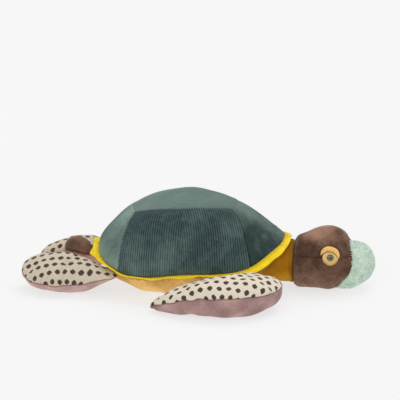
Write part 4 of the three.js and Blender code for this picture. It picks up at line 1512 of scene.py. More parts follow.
@dataclass
class Rim:
    """The bias tape round the shell and its stitches.

    Places along it are in degrees from the nose. Folded says how much of its width, in mm, is taken
    in beside, behind and ahead, and corner how much it widens next to the tail.
    """

    finishes: Finishes
    tools: NodeTools
    columns: int = 560
    crinkle: float = 0.28
    sway_deg: float = 7.5
    raised_deg: float = 14
    settled_deg: float = 26
    raised_from_to: tuple[tuple[float, float], ...] = ((100, 125), (163, 172))
    folded: tuple[float, float, float] = (2.6, 2.8, 2.4)
    folded_from_to: tuple[tuple[float, float], ...] = ((105, 130), (160, 168))
    corner: float = 3.0
    corner_deg: float = 167
    stitch: tuple[float, float, float] = (3.2, 2.4, 0.55)
    profile: tuple[tuple[float, float], ...] = (
        (-0.2, 1.0), (0.1, 0.9), (0.35, 0.85), (0.62, 0.9), (0.84, 1.0), (0.94, 0.92), (0.985, 0.6),
        (1.0, 0.0),
    )

    def build(self) -> None:
        """Makes the folded tape with its wavy free edge, and the row of stitches on it."""
        angle = np.linspace(0, math.tau, self.columns, endpoint=False)
        seam, out = BODY.rim_point(angle), BODY.rim_outward(angle)
        run = lengths_along(seam[:, None], 0)[:, 0]
        unrolled = np.stack([run, 0 * run], axis=-1)
        sway = ripple(unrolled, 38, 3) * math.radians(self.sway_deg)
        turn = BODY.from_nose(angle)
        raised = math.radians(self.raised_deg) * band(turn, *self.raised_from_to)
        settled = math.radians(self.settled_deg) * (1 - smooth_step(5, 26, turn))
        droop = BODY.droop(angle) + settled + sway * smooth_step(40, 70, turn) - raised
        lean = out * np.cos(droop)[:, None]
        lean[:, 2] = -np.sin(droop)
        square = out * np.sin(droop)[:, None]
        square[:, 2] = np.cos(droop)
        beside, behind, ahead = self.folded
        folded = beside * band(turn, *self.folded_from_to) + behind * smooth_step(169, 174, turn)
        folded = folded + ahead * (1 - smooth_step(9, 24, turn))
        corner = self.corner * hump(turn - self.corner_deg, 4.5)
        width = BODY.tape_width - 0.7 + 0.35 * ripple(unrolled, 26, 9) + corner - folded
        half = BODY.tape_thickness / 2
        profile = self.profile + tuple((a, -b) for a, b in reversed(self.profile[:-1]))
        crinkle = self.crinkle * ripple(unrolled, 15, 21)
        rows, shade, flat = [], [], []
        for along, lift in profile:
            swell = crinkle * max(along, 0)
            rows.append(seam + lean * (width * along)[:, None] + square * (half * lift + swell)[:, None])
            shade.append(np.full(self.columns, min(1.0, max(0.0, along * 2.2))))
            across = along * BODY.tape_width / 100 + (lift < 0) * 0.3
            flat.append(np.stack([run / 100, np.full(self.columns, across)], -1))
        points, seams, uv = (np.stack(part + part[:1]) for part in (rows, shade, flat))
        piece = grid_piece("rim_tape", points, BODY_MIDDLE, wrap=True, uv=uv, fields={"seam": seams})
        face_out(piece.data)
        dress(piece, "body", "tape", ["rim_tape"], material=self.finishes["tape"])
        line = seam + lean * (width * 0.3)[:, None] + square * (half * 0.95 + crinkle * 0.3)[:, None]
        row = self.tools.sew("tape_stitches", line, self.stitch, self.finishes["yellow_thread"], closed=True)
        dress(row, "body", "tape")


@dataclass
class Belly:
    """The velour underside."""

    finishes: Finishes
    columns: int = 420
    rows: int = 60
    gather: float = 0.7
    lump: float = 1.1
    inside: tuple[float, float, float] = (0, 0, 30)
    filling: Filling = Filling(rows=24, columns=120)

    def build(self) -> None:
        """Makes the underside, gathered a little where it is sewn to the rim."""
        t, angle = polar_grid(self.rows, self.columns)
        reach = np.sin(t * math.pi / 2)
        points = turned(BODY.rim_radius(angle) * reach, angle, BODY.belly_height(angle, reach))
        normals = grid_normals(points, np.array(self.inside), wrap=True)
        normals[0] = (0, 0, -1)
        down = lengths_along(points, 0)
        edge = down[-1:] - down
        unrolled = np.stack([angle * BODY.half_width, edge * 0.25], axis=-1)
        gathers = ripple(unrolled, 11, 31) * hump(edge, 13) * self.gather
        lumps = ripple(points, 48, 37) * smooth_step(0, 10, edge) * self.lump
        lifted = smooth_step(1.0, 9.0, points[..., 2])
        sunk = 0.6 * hump(edge, 2.5)
        swell = (gathers + lumps + 0.2 * smooth_step(0, 12, edge) - sunk - 0.3) * lifted
        points = points + normals * swell[..., None]
        held = np.maximum(1 - smooth_step(2, 9, edge), 1 - smooth_step(0.5, 6.0, points[..., 2]))
        points = points + level(self.filling.moves(points, held), normals, 1 - held)
        points[..., 2] = np.maximum(points[..., 2], 0.2)
        # Painted shade: the front of the belly, under the neck, darker, and the seam attribute's painted
        # shade under the tape.
        front = smooth_step(0.25, 0.6, np.cos(angle))
        nap = np.clip(0.66 + 0.18 * ripple(points, 60, 41) - 0.8 * front, 0, 1)
        fields = {"seam": smooth_step(0, 9, edge), "nap": nap}
        piece = grid_piece("belly", points, self.inside, wrap=True, fields=fields)
        nodes = ["belly_cover", "body_stuffing"]
        dress(piece, "body", "mustard_velour", nodes, self.finishes["mustard_velour"])


@dataclass(frozen=True)
class HeadForm:
    """The form of the head and the neck, in mm."""

    start: float = 154
    length: float = 90
    height: float = 93
    half_width: float = 41
    nose_radius: float = 35
    along: tuple[float, ...] = (-0.3, 0, 0.2, 0.41, 0.59, 0.73, 0.88, 1)
    tops: tuple[float, ...] = (0.76, 0.785, 0.868, 0.96, 0.99, 0.98, 0.91, 0.755)
    bottoms: tuple[float, ...] = (0.03, 0.02, 0.003, -0.006, -0.006, -0.006, 0, 0.015)
    widths: tuple[float, ...] = (0.87, 0.88, 0.95, 1, 1, 0.97, 0.93, 0.87)
    chin_power: float = 1.4
    seam_place: float = 0.945
    seam_slant: float = 0.12
    seam_wave: float = 0.078
    neck_pivot: tuple[float, float, float] = (119, 0, 39.5)
    neck_ball: float = 50
    neck_half_width: float = 35
    neck_top: float = 72
    neck_bottom: float = 7

    @property
    def nose_centre(self) -> float:
        """Where the nose's rounding starts, along X."""
        return self.start + self.length

    @property
    def nose_tip(self) -> float:
        """The foremost point, along X."""
        return self.nose_centre + self.nose_radius

    @property
    def middle(self) -> tuple[float, float, float]:
        """A point inside the head."""
        return (self.start + self.length / 2, 0.0, self.height / 2)

    def surface(self, x: Array, turn: Array) -> Array:
        """Points of the head at a place along X and a turn round from its crown.

        Args:
            x: the place, in mm.
            turn: the turn, in radians.

        Returns:
            The points, in mm.
        """
        share = np.minimum(1, (x - self.start) / self.length)
        tables = (self.tops, self.bottoms, self.widths)
        top, bottom, width = (smooth_table(self.along, table, share) for table in tables)
        beyond = np.maximum(0, x - self.nose_centre) / self.nose_radius
        rounding = np.sqrt(np.maximum(0, 1 - beyond**2))
        chin = np.maximum(0, 1 - beyond**self.chin_power) ** (1 / self.chin_power)
        middle, half = self.height * (top + bottom) / 2, self.height * (top - bottom) / 2
        up = np.cos(turn)
        z = np.maximum(0, middle + half * np.where(up < 0, chin, rounding) * up)
        return np.stack([x, self.half_width * width * rounding * np.sin(turn), z], axis=-1)

    def snout_seam(self, turn: Array) -> Array:
        """Where the snout is sewn on, along X."""
        share = self.seam_place + self.seam_slant * np.cos(turn) - self.seam_wave * np.cos(2 * turn)
        return self.start + share * self.length


HEAD = HeadForm()


@dataclass
class Neck:
    """The velour sleeve between shell and head."""

    finishes: Finishes
    columns: int = 160
    rows: int = 70
    back: float = 98.0
    fold: float = 0.8

    def build(self) -> None:
        """Makes the sleeve, with soft lengthwise folds, closed by a ball that the head turns on."""
        pivot = np.array(HEAD.neck_pivot)
        front = pivot[0] + HEAD.neck_ball - 0.6
        mid_z = (HEAD.neck_top + HEAD.neck_bottom) / 2
        u, turn = polar_grid(self.rows, self.columns)
        x = self.back + (front - self.back) * np.sin(u * math.pi / 2)
        ball = np.sqrt(np.maximum(0, (HEAD.neck_ball - 0.5) ** 2 - (x - pivot[0]) ** 2))
        half_height = (HEAD.neck_top - HEAD.neck_bottom) / 2 - 0.3
        profile = np.hypot(HEAD.neck_half_width * np.sin(turn), half_height * np.cos(turn))
        scale = np.where(x > pivot[0], np.minimum(profile, ball), profile) / profile
        across, up = HEAD.neck_half_width * np.sin(turn) * scale, half_height * np.cos(turn) * scale
        points = np.stack([x, across, mid_z + up], axis=-1)
        free = smooth_step(0, 6, ball - profile + 8) * (x < 153)
        folds = ripple(np.stack([turn * 34, x * 0.35], axis=-1), 17, 51) * self.fold - self.fold
        spoke = points - np.stack([x, 0 * x, 0 * x + mid_z], axis=-1)
        spoke /= np.maximum(np.linalg.norm(spoke, axis=-1, keepdims=True), 1e-6)
        points = points + spoke * (folds * free)[..., None]
        # Paler on the underside; the seam attribute paints shade in the gap next to the head.
        under = smooth_step(0.2, 0.9, -np.cos(turn))
        nap = np.clip(0.25 + 0.12 * ripple(points, 40, 53) + 0.25 * under, 0, 1)
        fields = {"seam": 1 - 0.7 * smooth_step(147, 154, x), "nap": nap}
        piece = grid_piece("neck_sleeve", points, tuple(pivot), wrap=True, fields=fields)
        bend = ("body", "neck", (0.120, 0, 0.04), (0.150, 0, 0.04))
        nodes = ["neck_cover", "neck_stuffing"]
        dress(piece, bend, "mustard_velour", nodes, self.finishes["neck_velour"])


@dataclass
class Head:
    """The brown head, its looped snout and the eyes."""

    finishes: Finishes
    tools: NodeTools
    columns: int = 240
    rows: int = 110
    back: float = 158.5
    side_seam: float = 55.8
    rolled_back: float = 2.8
    rolled_front: float = 1.6
    puff: float = 0.9
    lump: float = 0.9
    crease: float = 1.5
    filling: Filling = Filling(rows=30, columns=72, cap=1.5)

    def build(self) -> None:
        """Makes the head cover, the snout and both eyes."""
        self._cover()
        self._snout()
        for side in Side:
            Eye(self.finishes, self.tools, side).build()

    def _cover(self) -> None:
        """The head cover: rolled in at the neck, creased along the side seam."""
        u, turn = polar_grid(self.rows, self.columns)
        x = self.back + (HEAD.snout_seam(turn) - self.back) * u
        points = HEAD.surface(x, turn)
        normals = grid_normals(points, np.array(HEAD.middle), wrap=True)
        length = lengths_along(points, 0)
        to_snout = length[-1:] - length
        to_edge = np.minimum(length, to_snout)
        rolled = self.rolled_back * hump(length, 3.6)
        rolled = rolled + self.rolled_front * hump(to_snout, 2.4)
        puff = self.puff * smooth_step(0, 12, to_edge)
        lumps = self.lump * ripple(points, 42, 61) * smooth_step(0, 15, to_edge)
        height = np.abs(points[..., 2] - self.side_seam) / np.maximum(np.abs(np.sin(turn)), 0.3)
        beside_eye = 1 - band(u, (0.5, 0.6), (0.8, 0.86))
        line = hump(height, 1.7) * beside_eye
        off_floor = smooth_step(0.5, 5, points[..., 2])
        points = points + normals * ((puff + lumps) * off_floor - rolled - self.crease * line)[..., None]
        points = points + self._fill(points, normals, to_edge)
        points[..., 2] = np.maximum(points[..., 2], 0.25)
        lip = [points[:1] - normals[:1] * 4 + np.array([1.5, 0, 0]), points, points[-1:] - normals[-1:] * 2.5]
        lip[0][..., 2] = np.maximum(lip[0][..., 2], 1.0)
        # Painted shade along the seams and the side seam's crease.
        seam = np.minimum(smooth_step(0, 5, to_edge), 1 - 0.95 * line)
        # Painted light and shade: crown and cheeks paler, a painted shadow above each eye round the lid, and
        # a darker patch behind and above the eyes.
        crown = smooth_step(0.45, 0.95, np.cos(turn)) * band(u, (0.08, 0.28), (0.5, 0.82))
        beyond = np.minimum(*(np.linalg.norm(points - self._eye(side), axis=-1) for side in Side))
        above_eye = smooth_step(-4, 8, points[..., 2] - self._eye(Side.RIGHT)[2])
        hollow = hump(beyond - 16.5, 2.6) * above_eye
        cheek = smooth_step(0.1, 0.55, -np.cos(turn)) * 0.18
        dim = hump(points[..., 0] - 178, 15) * hump(points[..., 2] - 70, 13)
        lie = 0.1 + 0.62 * crown + cheek - 0.2 * hollow - 0.35 * dim + 0.04 * ripple(points, 24, 67)
        numbers = {"seam": seam, "nap": np.clip(lie, 0, 1)}
        fields = {key: np.pad(values, ((1, 1), (0, 0)), mode="edge") for key, values in numbers.items()}
        piece = grid_piece("head_cover", np.concatenate(lip), HEAD.middle, wrap=True, fields=fields)
        nodes = ["head_cover", "head_stuffing"]
        dress(piece, "head", "brown_pile", nodes, self.finishes["brown_pile"])

    @staticmethod
    def _eye(side: Side) -> Array:
        """The middle of an eye on the head."""
        turn = np.array(side.value * math.radians(Eye.turn_deg))
        return HEAD.surface(np.array(HEAD.start + Eye.along * HEAD.length), turn)

    def _fill(self, points: Array, normals: Array, to_edge: Array) -> Array:
        """How the filling moves the cover, which is held at its seams, under the eyes and on the floor.

        Args:
            points: the cover's points, in mm.
            normals: their normals.
            to_edge: their distance from the nearest seam, in mm.

        Returns:
            How far each point moves, in mm.
        """
        to_eye = np.minimum(*(np.linalg.norm(points - self._eye(side), axis=-1) for side in Side))
        fixed = np.maximum(1 - smooth_step(2, 8, to_edge), 1 - smooth_step(19, 27, to_eye))
        held = np.maximum(fixed, 1 - smooth_step(0.5, 4.0, points[..., 2]))
        return level(self.filling.moves(points, held), normals, 1 - held)

    def _snout(self) -> None:
        """The snout: a looped cap whose wavy edge sinks into the seam."""
        u, turn = polar_grid(46, 132)
        start = HEAD.snout_seam(turn)
        x = start + (HEAD.nose_tip - start) * (1 - (1 - u) ** 2)
        points = HEAD.surface(x, turn)
        points[-1] = (HEAD.nose_tip, 0, points[-1, :, 2].mean())
        normals = grid_normals(points, np.array(HEAD.middle), wrap=True)
        normals[-1] = (1, 0, 0)
        length = lengths_along(points, 0)
        swell = 0.7 * smooth_step(0, 9, length) - 1.4 * hump(length, 2.2)
        swell = swell + 0.6 * ripple(points, 26, 71)
        points = points + normals * (swell * smooth_step(0.5, 5, points[..., 2]))[..., None]
        points[..., 2] = np.maximum(points[..., 2], 2.4)
        whole = np.concatenate([points[:1] - normals[:1] * 2.0, points])
        piece = grid_piece("snout_cap", whole, HEAD.middle, wrap=True)
        values = {"Gap": 2.3 * MM, "Density": 320000.0, "Radius": 1.5 * MM, "Yarn": 0.6 * MM, "Seed": 7}
        values["Material"] = self.finishes["mint_loops"]
        self.tools.apply(piece, self.tools.loops, values)
        dress(piece, "head", "mint_loops", ["snout_cap"])


@dataclass
class Eye:
    """One eye: a felt disc, a crescent lid and a bead."""

    finishes: Finishes
    tools: NodeTools
    side: Side
    along: float = 0.68
    turn_deg: float = 78
    disc_radius: float = 12.7
    disc_thickness: float = 1.4
    lid_thickness: float = 1.4
    bead_radius: float = 5.2
    bead_height: float = 3.4
    gap: float = 0.3
    thread: tuple[float, float, float] = (0.8, 1.4, 1.05)
    lid_outer: tuple[tuple[float, float], ...] = (
        (-1.15, 0.36), (-1.07, 0.8), (-0.74, 1.18), (-0.25, 1.35), (0.27, 1.28),
        (0.74, 1.04), (1.02, 0.68), (1.1, 0.25), (0.99, -0.06),
    )
    lid_inner: tuple[tuple[float, float], ...] = (
        (-1.13, 0.33), (-0.88, 0.49), (-0.58, 0.65), (-0.3, 0.74), (-0.03, 0.72),
        (0.28, 0.65), (0.55, 0.44), (0.77, 0.2), (0.96, -0.06),
    )

    _place: Array = field(init=False)
    _axes: Array = field(init=False)

    @property
    def base(self) -> float:
        """How far out of the head the disc's top lies."""
        return self.gap * 2 + self.disc_thickness

    def build(self) -> None:
        """Makes the pieces in the eye's own frame and sets them on the head."""
        self._place, self._axes = self._frame()
        self._disc()
        self._lid()
        self._bead()

    def _frame(self) -> tuple[Array, Array]:
        """The eye's middle on the head, and its local axes as rows: forward-across, up, out.

        Returns:
            The middle in mm, and the axes.
        """
        x = np.array(HEAD.start + self.along * HEAD.length)
        turn = np.array(self.side.value * math.radians(self.turn_deg))
        step = math.radians(1)
        forward = HEAD.surface(x + 1.6, turn) - HEAD.surface(x - 1.6, turn)
        round_ = HEAD.surface(x, turn + step) - HEAD.surface(x, turn - step)
        out = np.cross(forward, round_)
        out /= np.linalg.norm(out)
        up = np.array([0, 0, 1.0]) - out * out[2]
        up /= np.linalg.norm(up)
        return HEAD.surface(x, turn), np.stack([np.cross(up, out), up, out])

    def _set(self, local: Array) -> Array:
        """Places in mm from places in the eye's frame."""
        return self._place + local @ self._axes

    def _disc(self) -> None:
        """The felt disc: a little domed, puckered toward its rim, with a soft edge."""
        shares = np.array([0, 0.12, 0.25, 0.4, 0.55, 0.7, 0.82, 0.91, 0.965, 0.99, 1.0, 1.0, 0.97])
        lifts = np.array([1.0, 1.0, 1.0, 1.0, 0.99, 0.97, 0.94, 0.88, 0.76, 0.55, 0.3, 0.0, -0.3])
        r, turn = polar_grid(shares, 144)
        top = self.gap + self.disc_thickness
        pleats = np.cos(turn * 22 + 0.9 * np.sin(turn * 5)) * smooth_step(0.35, 0.9, r)
        spokes = pleats * 0.2 * (r < 0.985)
        wobble = 1 + 0.008 * np.sin(turn * 7 + 1) + 0.006 * np.sin(turn * 12)
        lift = np.minimum(self.gap + self.disc_thickness * lifts[:, None] + spokes, top + 0.1)
        local = turned((self.disc_radius - 0.6) * r * wobble, turn, lift)
        # Painted shade on the lower rim, the edge darker all round, and painted light and shade along the
        # pleats.
        low = smooth_step(-0.1, 0.9, -np.sin(turn)) * smooth_step(0.5, 0.95, r)
        fields = {
            "seam": np.clip(1 - smooth_step(0.86, 1.0, r) - 0.35 * low, 0, 1),
            "nap": np.clip(0.92 - 1.15 * low + 0.25 * pleats * (1 - 0.5 * low), 0, 1),
        }
        name = f"eye_disc_{self.side.word}"
        inside = tuple(self._set(np.array([0, 0, -5.0])))
        piece = grid_piece(name, self._set(local), inside, wrap=True, fields=fields)
        dress(piece, "head", "felt", [name], material=self.finishes["felt"])

    def _lid(self) -> None:
        """The lid: a plump crescent from the head over the disc, with a thread along its edge."""
        v = np.linspace(0, 1, 16)
        rise = np.linspace(0, 1, 110)
        lines = (self.lid_outer, self.lid_inner)
        outer, inner = (self._arc(np.array(line) * self.disc_radius, rise) for line in lines)
        flat = outer[:, None] + (inner - outer)[:, None] * v[None, :, None]
        over_disc = np.hypot(flat[..., 0], flat[..., 1]) < self.disc_radius + 0.5
        floor = np.maximum(self._head_lift(flat) + self.gap, np.where(over_disc, self.base, -9.0))
        plump = np.sin(rise * math.pi)[:, None] ** 0.6
        body = np.sqrt(np.clip(1 - np.abs(2 * v - 1) ** 2.4, 0, 1))[None]
        thickness = self.lid_thickness * (0.35 + 0.9 * plump) * body
        lift = np.maximum(floor, self.base - 2.2 * (1 - v[None]) ** 2) + thickness
        notch = hump(flat[..., 0] + 3.6, 0.9) * smooth_step(0.45, 0.95, v)[None]
        lift = np.maximum(floor + 0.2, lift - 1.0 * notch)
        ring = [np.concatenate([flat, z[..., None]], axis=-1) for z in (lift, floor)]
        # Painted shade along the lid's lower edge, less at the notch, and painted light toward its upper
        # edge.
        shade = np.concatenate([smooth_step(0, 0.2, 1 - v)[None] * (1 - 0.8 * notch), 0 * notch], axis=1)
        nap = np.concatenate([0.95 - 0.5 * v[None] + 0 * notch, 0 * notch], axis=1)
        name = f"eyelid_{self.side.word}"
        inside = tuple(self._set(np.array([0, 9.0, self.base + 0.7])))
        grid = self._set(np.concatenate([ring[0], ring[1][:, ::-1]], axis=1))
        piece = grid_piece(name, grid, inside, wrap=True, fields={"seam": shade, "nap": nap})
        face_out(piece.data)
        dress(piece, "head", "felt", [name], material=self.finishes["lid_felt"])
        edge = np.concatenate([inner, (lift[:, -2] * 0.5 + floor[:, -1] * 0.5)[:, None]], axis=1)[4:-4]
        name, thread = f"lid_thread_{self.side.word}", self.finishes["brown_thread"]
        dress(self.tools.sew(name, self._set(edge), self.thread, thread), "head", "felt")

    def _arc(self, points: Array, rise: Array) -> Array:
        """Samples a smooth open curve through flat points, mirrored for the left eye.

        Args:
            points: the points, in mm.
            rise: where to sample, as shares of the way.

        Returns:
            The samples, one a row.
        """
        places = np.linspace(0, 1, len(points))
        flip = 1.0 if self.side is Side.RIGHT else -1.0
        across, up = (smooth_table(places, line, rise) for line in points.T)
        return np.stack([flip * across, up], -1)

    def _head_lift(self, flat: Array) -> Array:
        """How far out the head's surface lies below flat places round the eye.

        Args:
            flat: the places, across and up in the eye's frame, in mm.

        Returns:
            The distance out, in mm.
        """
        turn = np.full(flat.shape[:-1], math.radians(self.turn_deg)) * self.side.value
        along = np.full(flat.shape[:-1], HEAD.start + self.along * HEAD.length)
        for _ in range(6):
            local = (HEAD.surface(along, turn) - self._place) @ self._axes.T
            along = along + (flat[..., 0] - local[..., 0]) * np.sign(self._axes[0, 0])
            turn = turn - (flat[..., 1] - local[..., 1]) / 42 * self.side.value
        return ((HEAD.surface(along, turn) - self._place) @ self._axes.T)[..., 2]

    def _bead(self) -> None:
        """The bead's dome with a flat back."""
        u, turn = polar_grid(26, 64)
        rise, reach = np.cos(u * math.pi / 2), np.sin(u * math.pi / 2)
        local = turned(self.bead_radius * reach, turn, self.base + self.bead_height * rise)
        back = local[-1:] * np.array([0.6, 0.6, 1.0]) - np.array([0, 0, 0.25])
        close = back * np.array([0.0, 0.0, 1.0])
        ring = np.concatenate([reach, np.ones((2, u.shape[1]))])
        name = f"eye_bead_{self.side.word}"
        inside = tuple(self._set(np.array([0, 0, self.base + 0.5])))
        whole = self._set(np.concatenate([local, back, close]))
        piece = grid_piece(name, whole, inside, wrap=True, fields={"ring": ring})
        dress(piece, "head", "bead", [name], material=self.finishes["bead"])


@dataclass
class PillowLimb:
    """A stuffed limb sewn from two cloths along its outline."""

    finishes: Finishes
    tools: NodeTools
    name: str
    side: Side
    outline: tuple[tuple[float, float, float, float], ...]
    centre: tuple[float, float, float]
    root: tuple[float, float]
    length: float
    width: float
    seam_height: float
    rise: float
    tilt_deg: float = 0.0
    depth: float | None = None
    under_pinch: float = 1.0
    under_give: float = 0.4
    slots: tuple[str, str] = ("spotted_cotton", "pink_velvet")
    cloths: tuple[str, str] = ("spotted_cotton", "pink_velvet")
    thread: str = "mauve_thread"
    stitch: tuple[float, float, float] = (3.4, 2.7, 0.7)
    columns: int = 300
    rows: int = 54
    pucker: float = 0.55
    lump: float = 1.0
    gather: float = 0.9
    nap: float = 0.38
    filling: Filling = Filling(rows=32, columns=100, slack=0.02, cap=2.2)
    seed: int = 100
    _middle: Array = field(init=False)
    _seam: Array = field(init=False)
    _pinch: Array = field(init=False)

    def build(self) -> None:
        """Makes both covers and the stitches along their seam."""
        self._middle = self._place(np.array([self.centre]))[0]
        points = self._place(np.array(self.outline)[:, :3])
        pinches = np.array([entry[3] for entry in self.outline])
        marks = np.stack([pinches, np.arange(len(pinches)) % 2, 0 * pinches], axis=-1)
        self._seam = closed_curve(points, self.columns)
        self._pinch = closed_curve(marks, self.columns, centripetal=False)[:, 0]
        forms = [self._form(cover) for cover in Cover]
        moves = self._fill(forms)
        made = [BODY.keep_clear(form + move) for form, move in zip(forms, moves)]
        for cover, points in zip(Cover, made):
            self._hand_over(cover, points)
        name, thread = f"{self.name}_stitches", self.finishes[self.thread]
        dress(self.tools.sew(name, made[0][-1], self.stitch, thread, closed=True), self.name, self.slots[1])

    def _place(self, shares: Array) -> Array:
        """Places in mm from shares along, across and up.

        Args:
            shares: the shares, one place a row.

        Returns:
            The places, one a row.
        """
        x = self.root[0] - shares[:, 0] * self.length
        y = self.side.value * (abs(self.root[1]) + shares[:, 1] * self.width)
        return np.stack([x, y, shares[:, 2] * self.seam_height], axis=-1)

    @property
    def _normal(self) -> Array:
        """The way the top cover bulges."""
        tilt = math.radians(self.tilt_deg)
        return np.array([0, self.side.value * math.sin(tilt), math.cos(tilt)])

    def _fill(self, forms: list[Array]) -> list[Array]:
        """How the filling moves both covers, which are held along the seam and at the root.

        Args:
            forms: the points of the top cover and of the under cover, in mm.

        Returns:
            How far the points of each cover move, in mm.
        """
        whole = np.concatenate([forms[0], forms[1][::-1]])
        away = np.hypot(whole[..., 0] - self.root[0], whole[..., 1] - self.root[1])
        root = 1 - smooth_step(12, 40, away)
        seam = 1 - smooth_step(0.5, 2.0, np.linalg.norm(whole - self._seam[None], axis=-1))
        fixed = np.clip(np.maximum(root, 1 - smooth_step(0.5, 2.5, whole[..., 2])), 0, 1)
        moves = self.filling.moves(whole, np.maximum(fixed, 0.85 * seam))
        normals = grid_normals(whole, whole.mean(axis=(0, 1)), wrap=True)
        moves = level(moves, normals, 1 - fixed)
        count = len(forms[0])
        return [moves[:count], self.under_give * moves[count:][::-1]]

    def _form(self, cover: Cover) -> Array:
        """Shapes one cover before it is filled.

        Args:
            cover: which one.

        Returns:
            Its points from the middle out to the seam, in mm.
        """
        upper = cover is Cover.TOP
        t = 1 - (1 - np.linspace(0, 1, self.rows)) ** 1.5
        turn = (t * math.pi / 2)[:, None]
        spoke = self._seam - self._middle
        points = self._middle + spoke[None] * np.sin(turn)[..., None]
        if upper:
            bulge = self.rise
        elif self.depth is None:
            full = (self._middle[2] + 0.5) / self._normal[2]
            bulge = -full * points[..., 2] / self._middle[2]
        else:
            bulge = -self.depth
        power = self._pinch[None] * (1.0 if upper else self.under_pinch)
        points = points + self._normal * (bulge * np.maximum(0, np.cos(turn)) ** power)[..., None]
        return BODY.keep_clear(self._work(points, upper))

    def _work(self, points: Array, upper: bool) -> Array:
        """Adds what stuffing and sewing do: lumps over the form and puckers along the seam.

        Args:
            points: the form's points, in mm.
            upper: whether it is the top cover's.

        Returns:
            The worked points.
        """
        edge = lengths_along(points, 0)
        edge = edge[-1:] - edge
        run = lengths_along(self._seam[:, None], 0)[:, 0]
        flat = np.stack([np.broadcast_to(run, edge.shape), edge * 0.3], axis=-1)
        puckers = self.pucker * ripple(flat, 8.0, self.seed) * hump(edge, 10)
        broad = self.gather * ripple(flat, 30.0, self.seed + 1) * hump(edge, 22)
        lumps = self.lump * ripple(points, 38, self.seed + 2) * smooth_step(4, 22, edge)
        swell = puckers * smooth_step(0, 3, edge) + broad * smooth_step(0, 8, edge) + lumps
        swell = (swell + 0.9 * smooth_step(0, 7, edge)) * (1.0 if upper else -1.0)
        sway = 0.5 * ripple(np.stack([run, 0 * run], axis=-1), 22.0, self.seed + 3)
        swell = swell + sway[None] * np.exp(-edge / 6)
        return points + self._normal * swell[..., None]

    def _hand_over(self, cover: Cover, points: Array) -> None:
        """Makes a cover's piece and hands it to the frame.

        Args:
            cover: which cover.
            points: its points, in mm.
        """
        number = list(Cover).index(cover)
        walked = lengths_along(points, 0)
        heading = points[-1] - self._middle
        heading = np.arctan2(heading[:, 1], heading[:, 0])[None]
        uv = np.stack([walked / 100 * np.cos(heading), walked / 100 * np.sin(heading)], axis=-1)
        # Each limb's level of painted light, with random tone.
        nap = np.clip(self.nap + 0.18 * ripple(points, 36, self.seed + 4), 0, 1)
        fields = {"seam": smooth_step(0, 5, walked[-1:] - walked), "nap": nap}
        inside = points.mean(axis=(0, 1)) - self._normal * (25.0, -25.0)[number]
        name = f"{self.name}_{cover.value}"
        piece = grid_piece(name, points, tuple(inside), wrap=True, uv=uv, fields=fields)
        nodes = [name] if number else [name, f"{self.name}_stuffing"]
        dress(piece, self.name, self.slots[number], nodes, self.finishes[self.cloths[number]])


# Each entry of an outline: the shares along, across and up, and how the cloth pinches there.
FRONT_OUTLINE = (
    (0.04, -0.04, 0.97, 2.2), (-0.12, -0.05, 0.97, 2.2), (-0.265, 0.3, 0.95, 1.2), (-0.145, 0.74, 0.95, 0.9),
    (0.208, 0.95, 0.95, 0.8), (0.578, 0.905, 0.83, 0.9), (0.863, 0.77, 0.5, 1), (1, 0.61, 0.28, 1),
    (0.863, 0.46, 0.45, 1), (0.55, 0.39, 0.78, 1), (0.238, 0.29, 0.95, 1.4), (0.124, 0.15, 1, 2),
)
REAR_ROOT = ((-0.056, -0.11, 0.77, 2.2), (0, 0.14, 0.72, 2.2))
REAR_END = ((0.204, -0.386, 0.94, 1.4), (0.063, -0.2, 0.86, 2))
REAR_OUTLINES = {
    Side.RIGHT: (
        *REAR_ROOT, (0.19, 0.12, 0.56, 1.2), (0.4, 0.16, 0.44, 0.9), (0.66, 0.18, 0.42, 0.9),
        (0.86, 0, 0.44, 0.9), (0.975, -0.29, 0.58, 0.9), (0.98, -0.55, 0.72, 0.9), (0.873, -0.7, 0.88, 0.9),
        (0.648, -0.72, 1, 0.9), (0.415, -0.62, 1, 1), *REAR_END,
    ),
    Side.LEFT: (
        *REAR_ROOT, (0.19, 0.18, 0.56, 1.2), (0.4, 0.22, 0.5, 0.9), (0.62, 0.1, 0.5, 0.9),
        (0.78, -0.15, 0.5, 0.9), (0.86, -0.41, 0.54, 0.9), (0.78, -0.6, 0.72, 0.9), (0.62, -0.69, 0.9, 0.9),
        (0.42, -0.62, 1, 1), *REAR_END,
    ),
}
TAIL_OUTLINE = ((-0.1, 0.55, 0.84, 1.6), (0.3, 0.9, 0.9, 0.8), (0.65, 1, 0.98, 0.6), (0.9, 0.62, 1, 1))


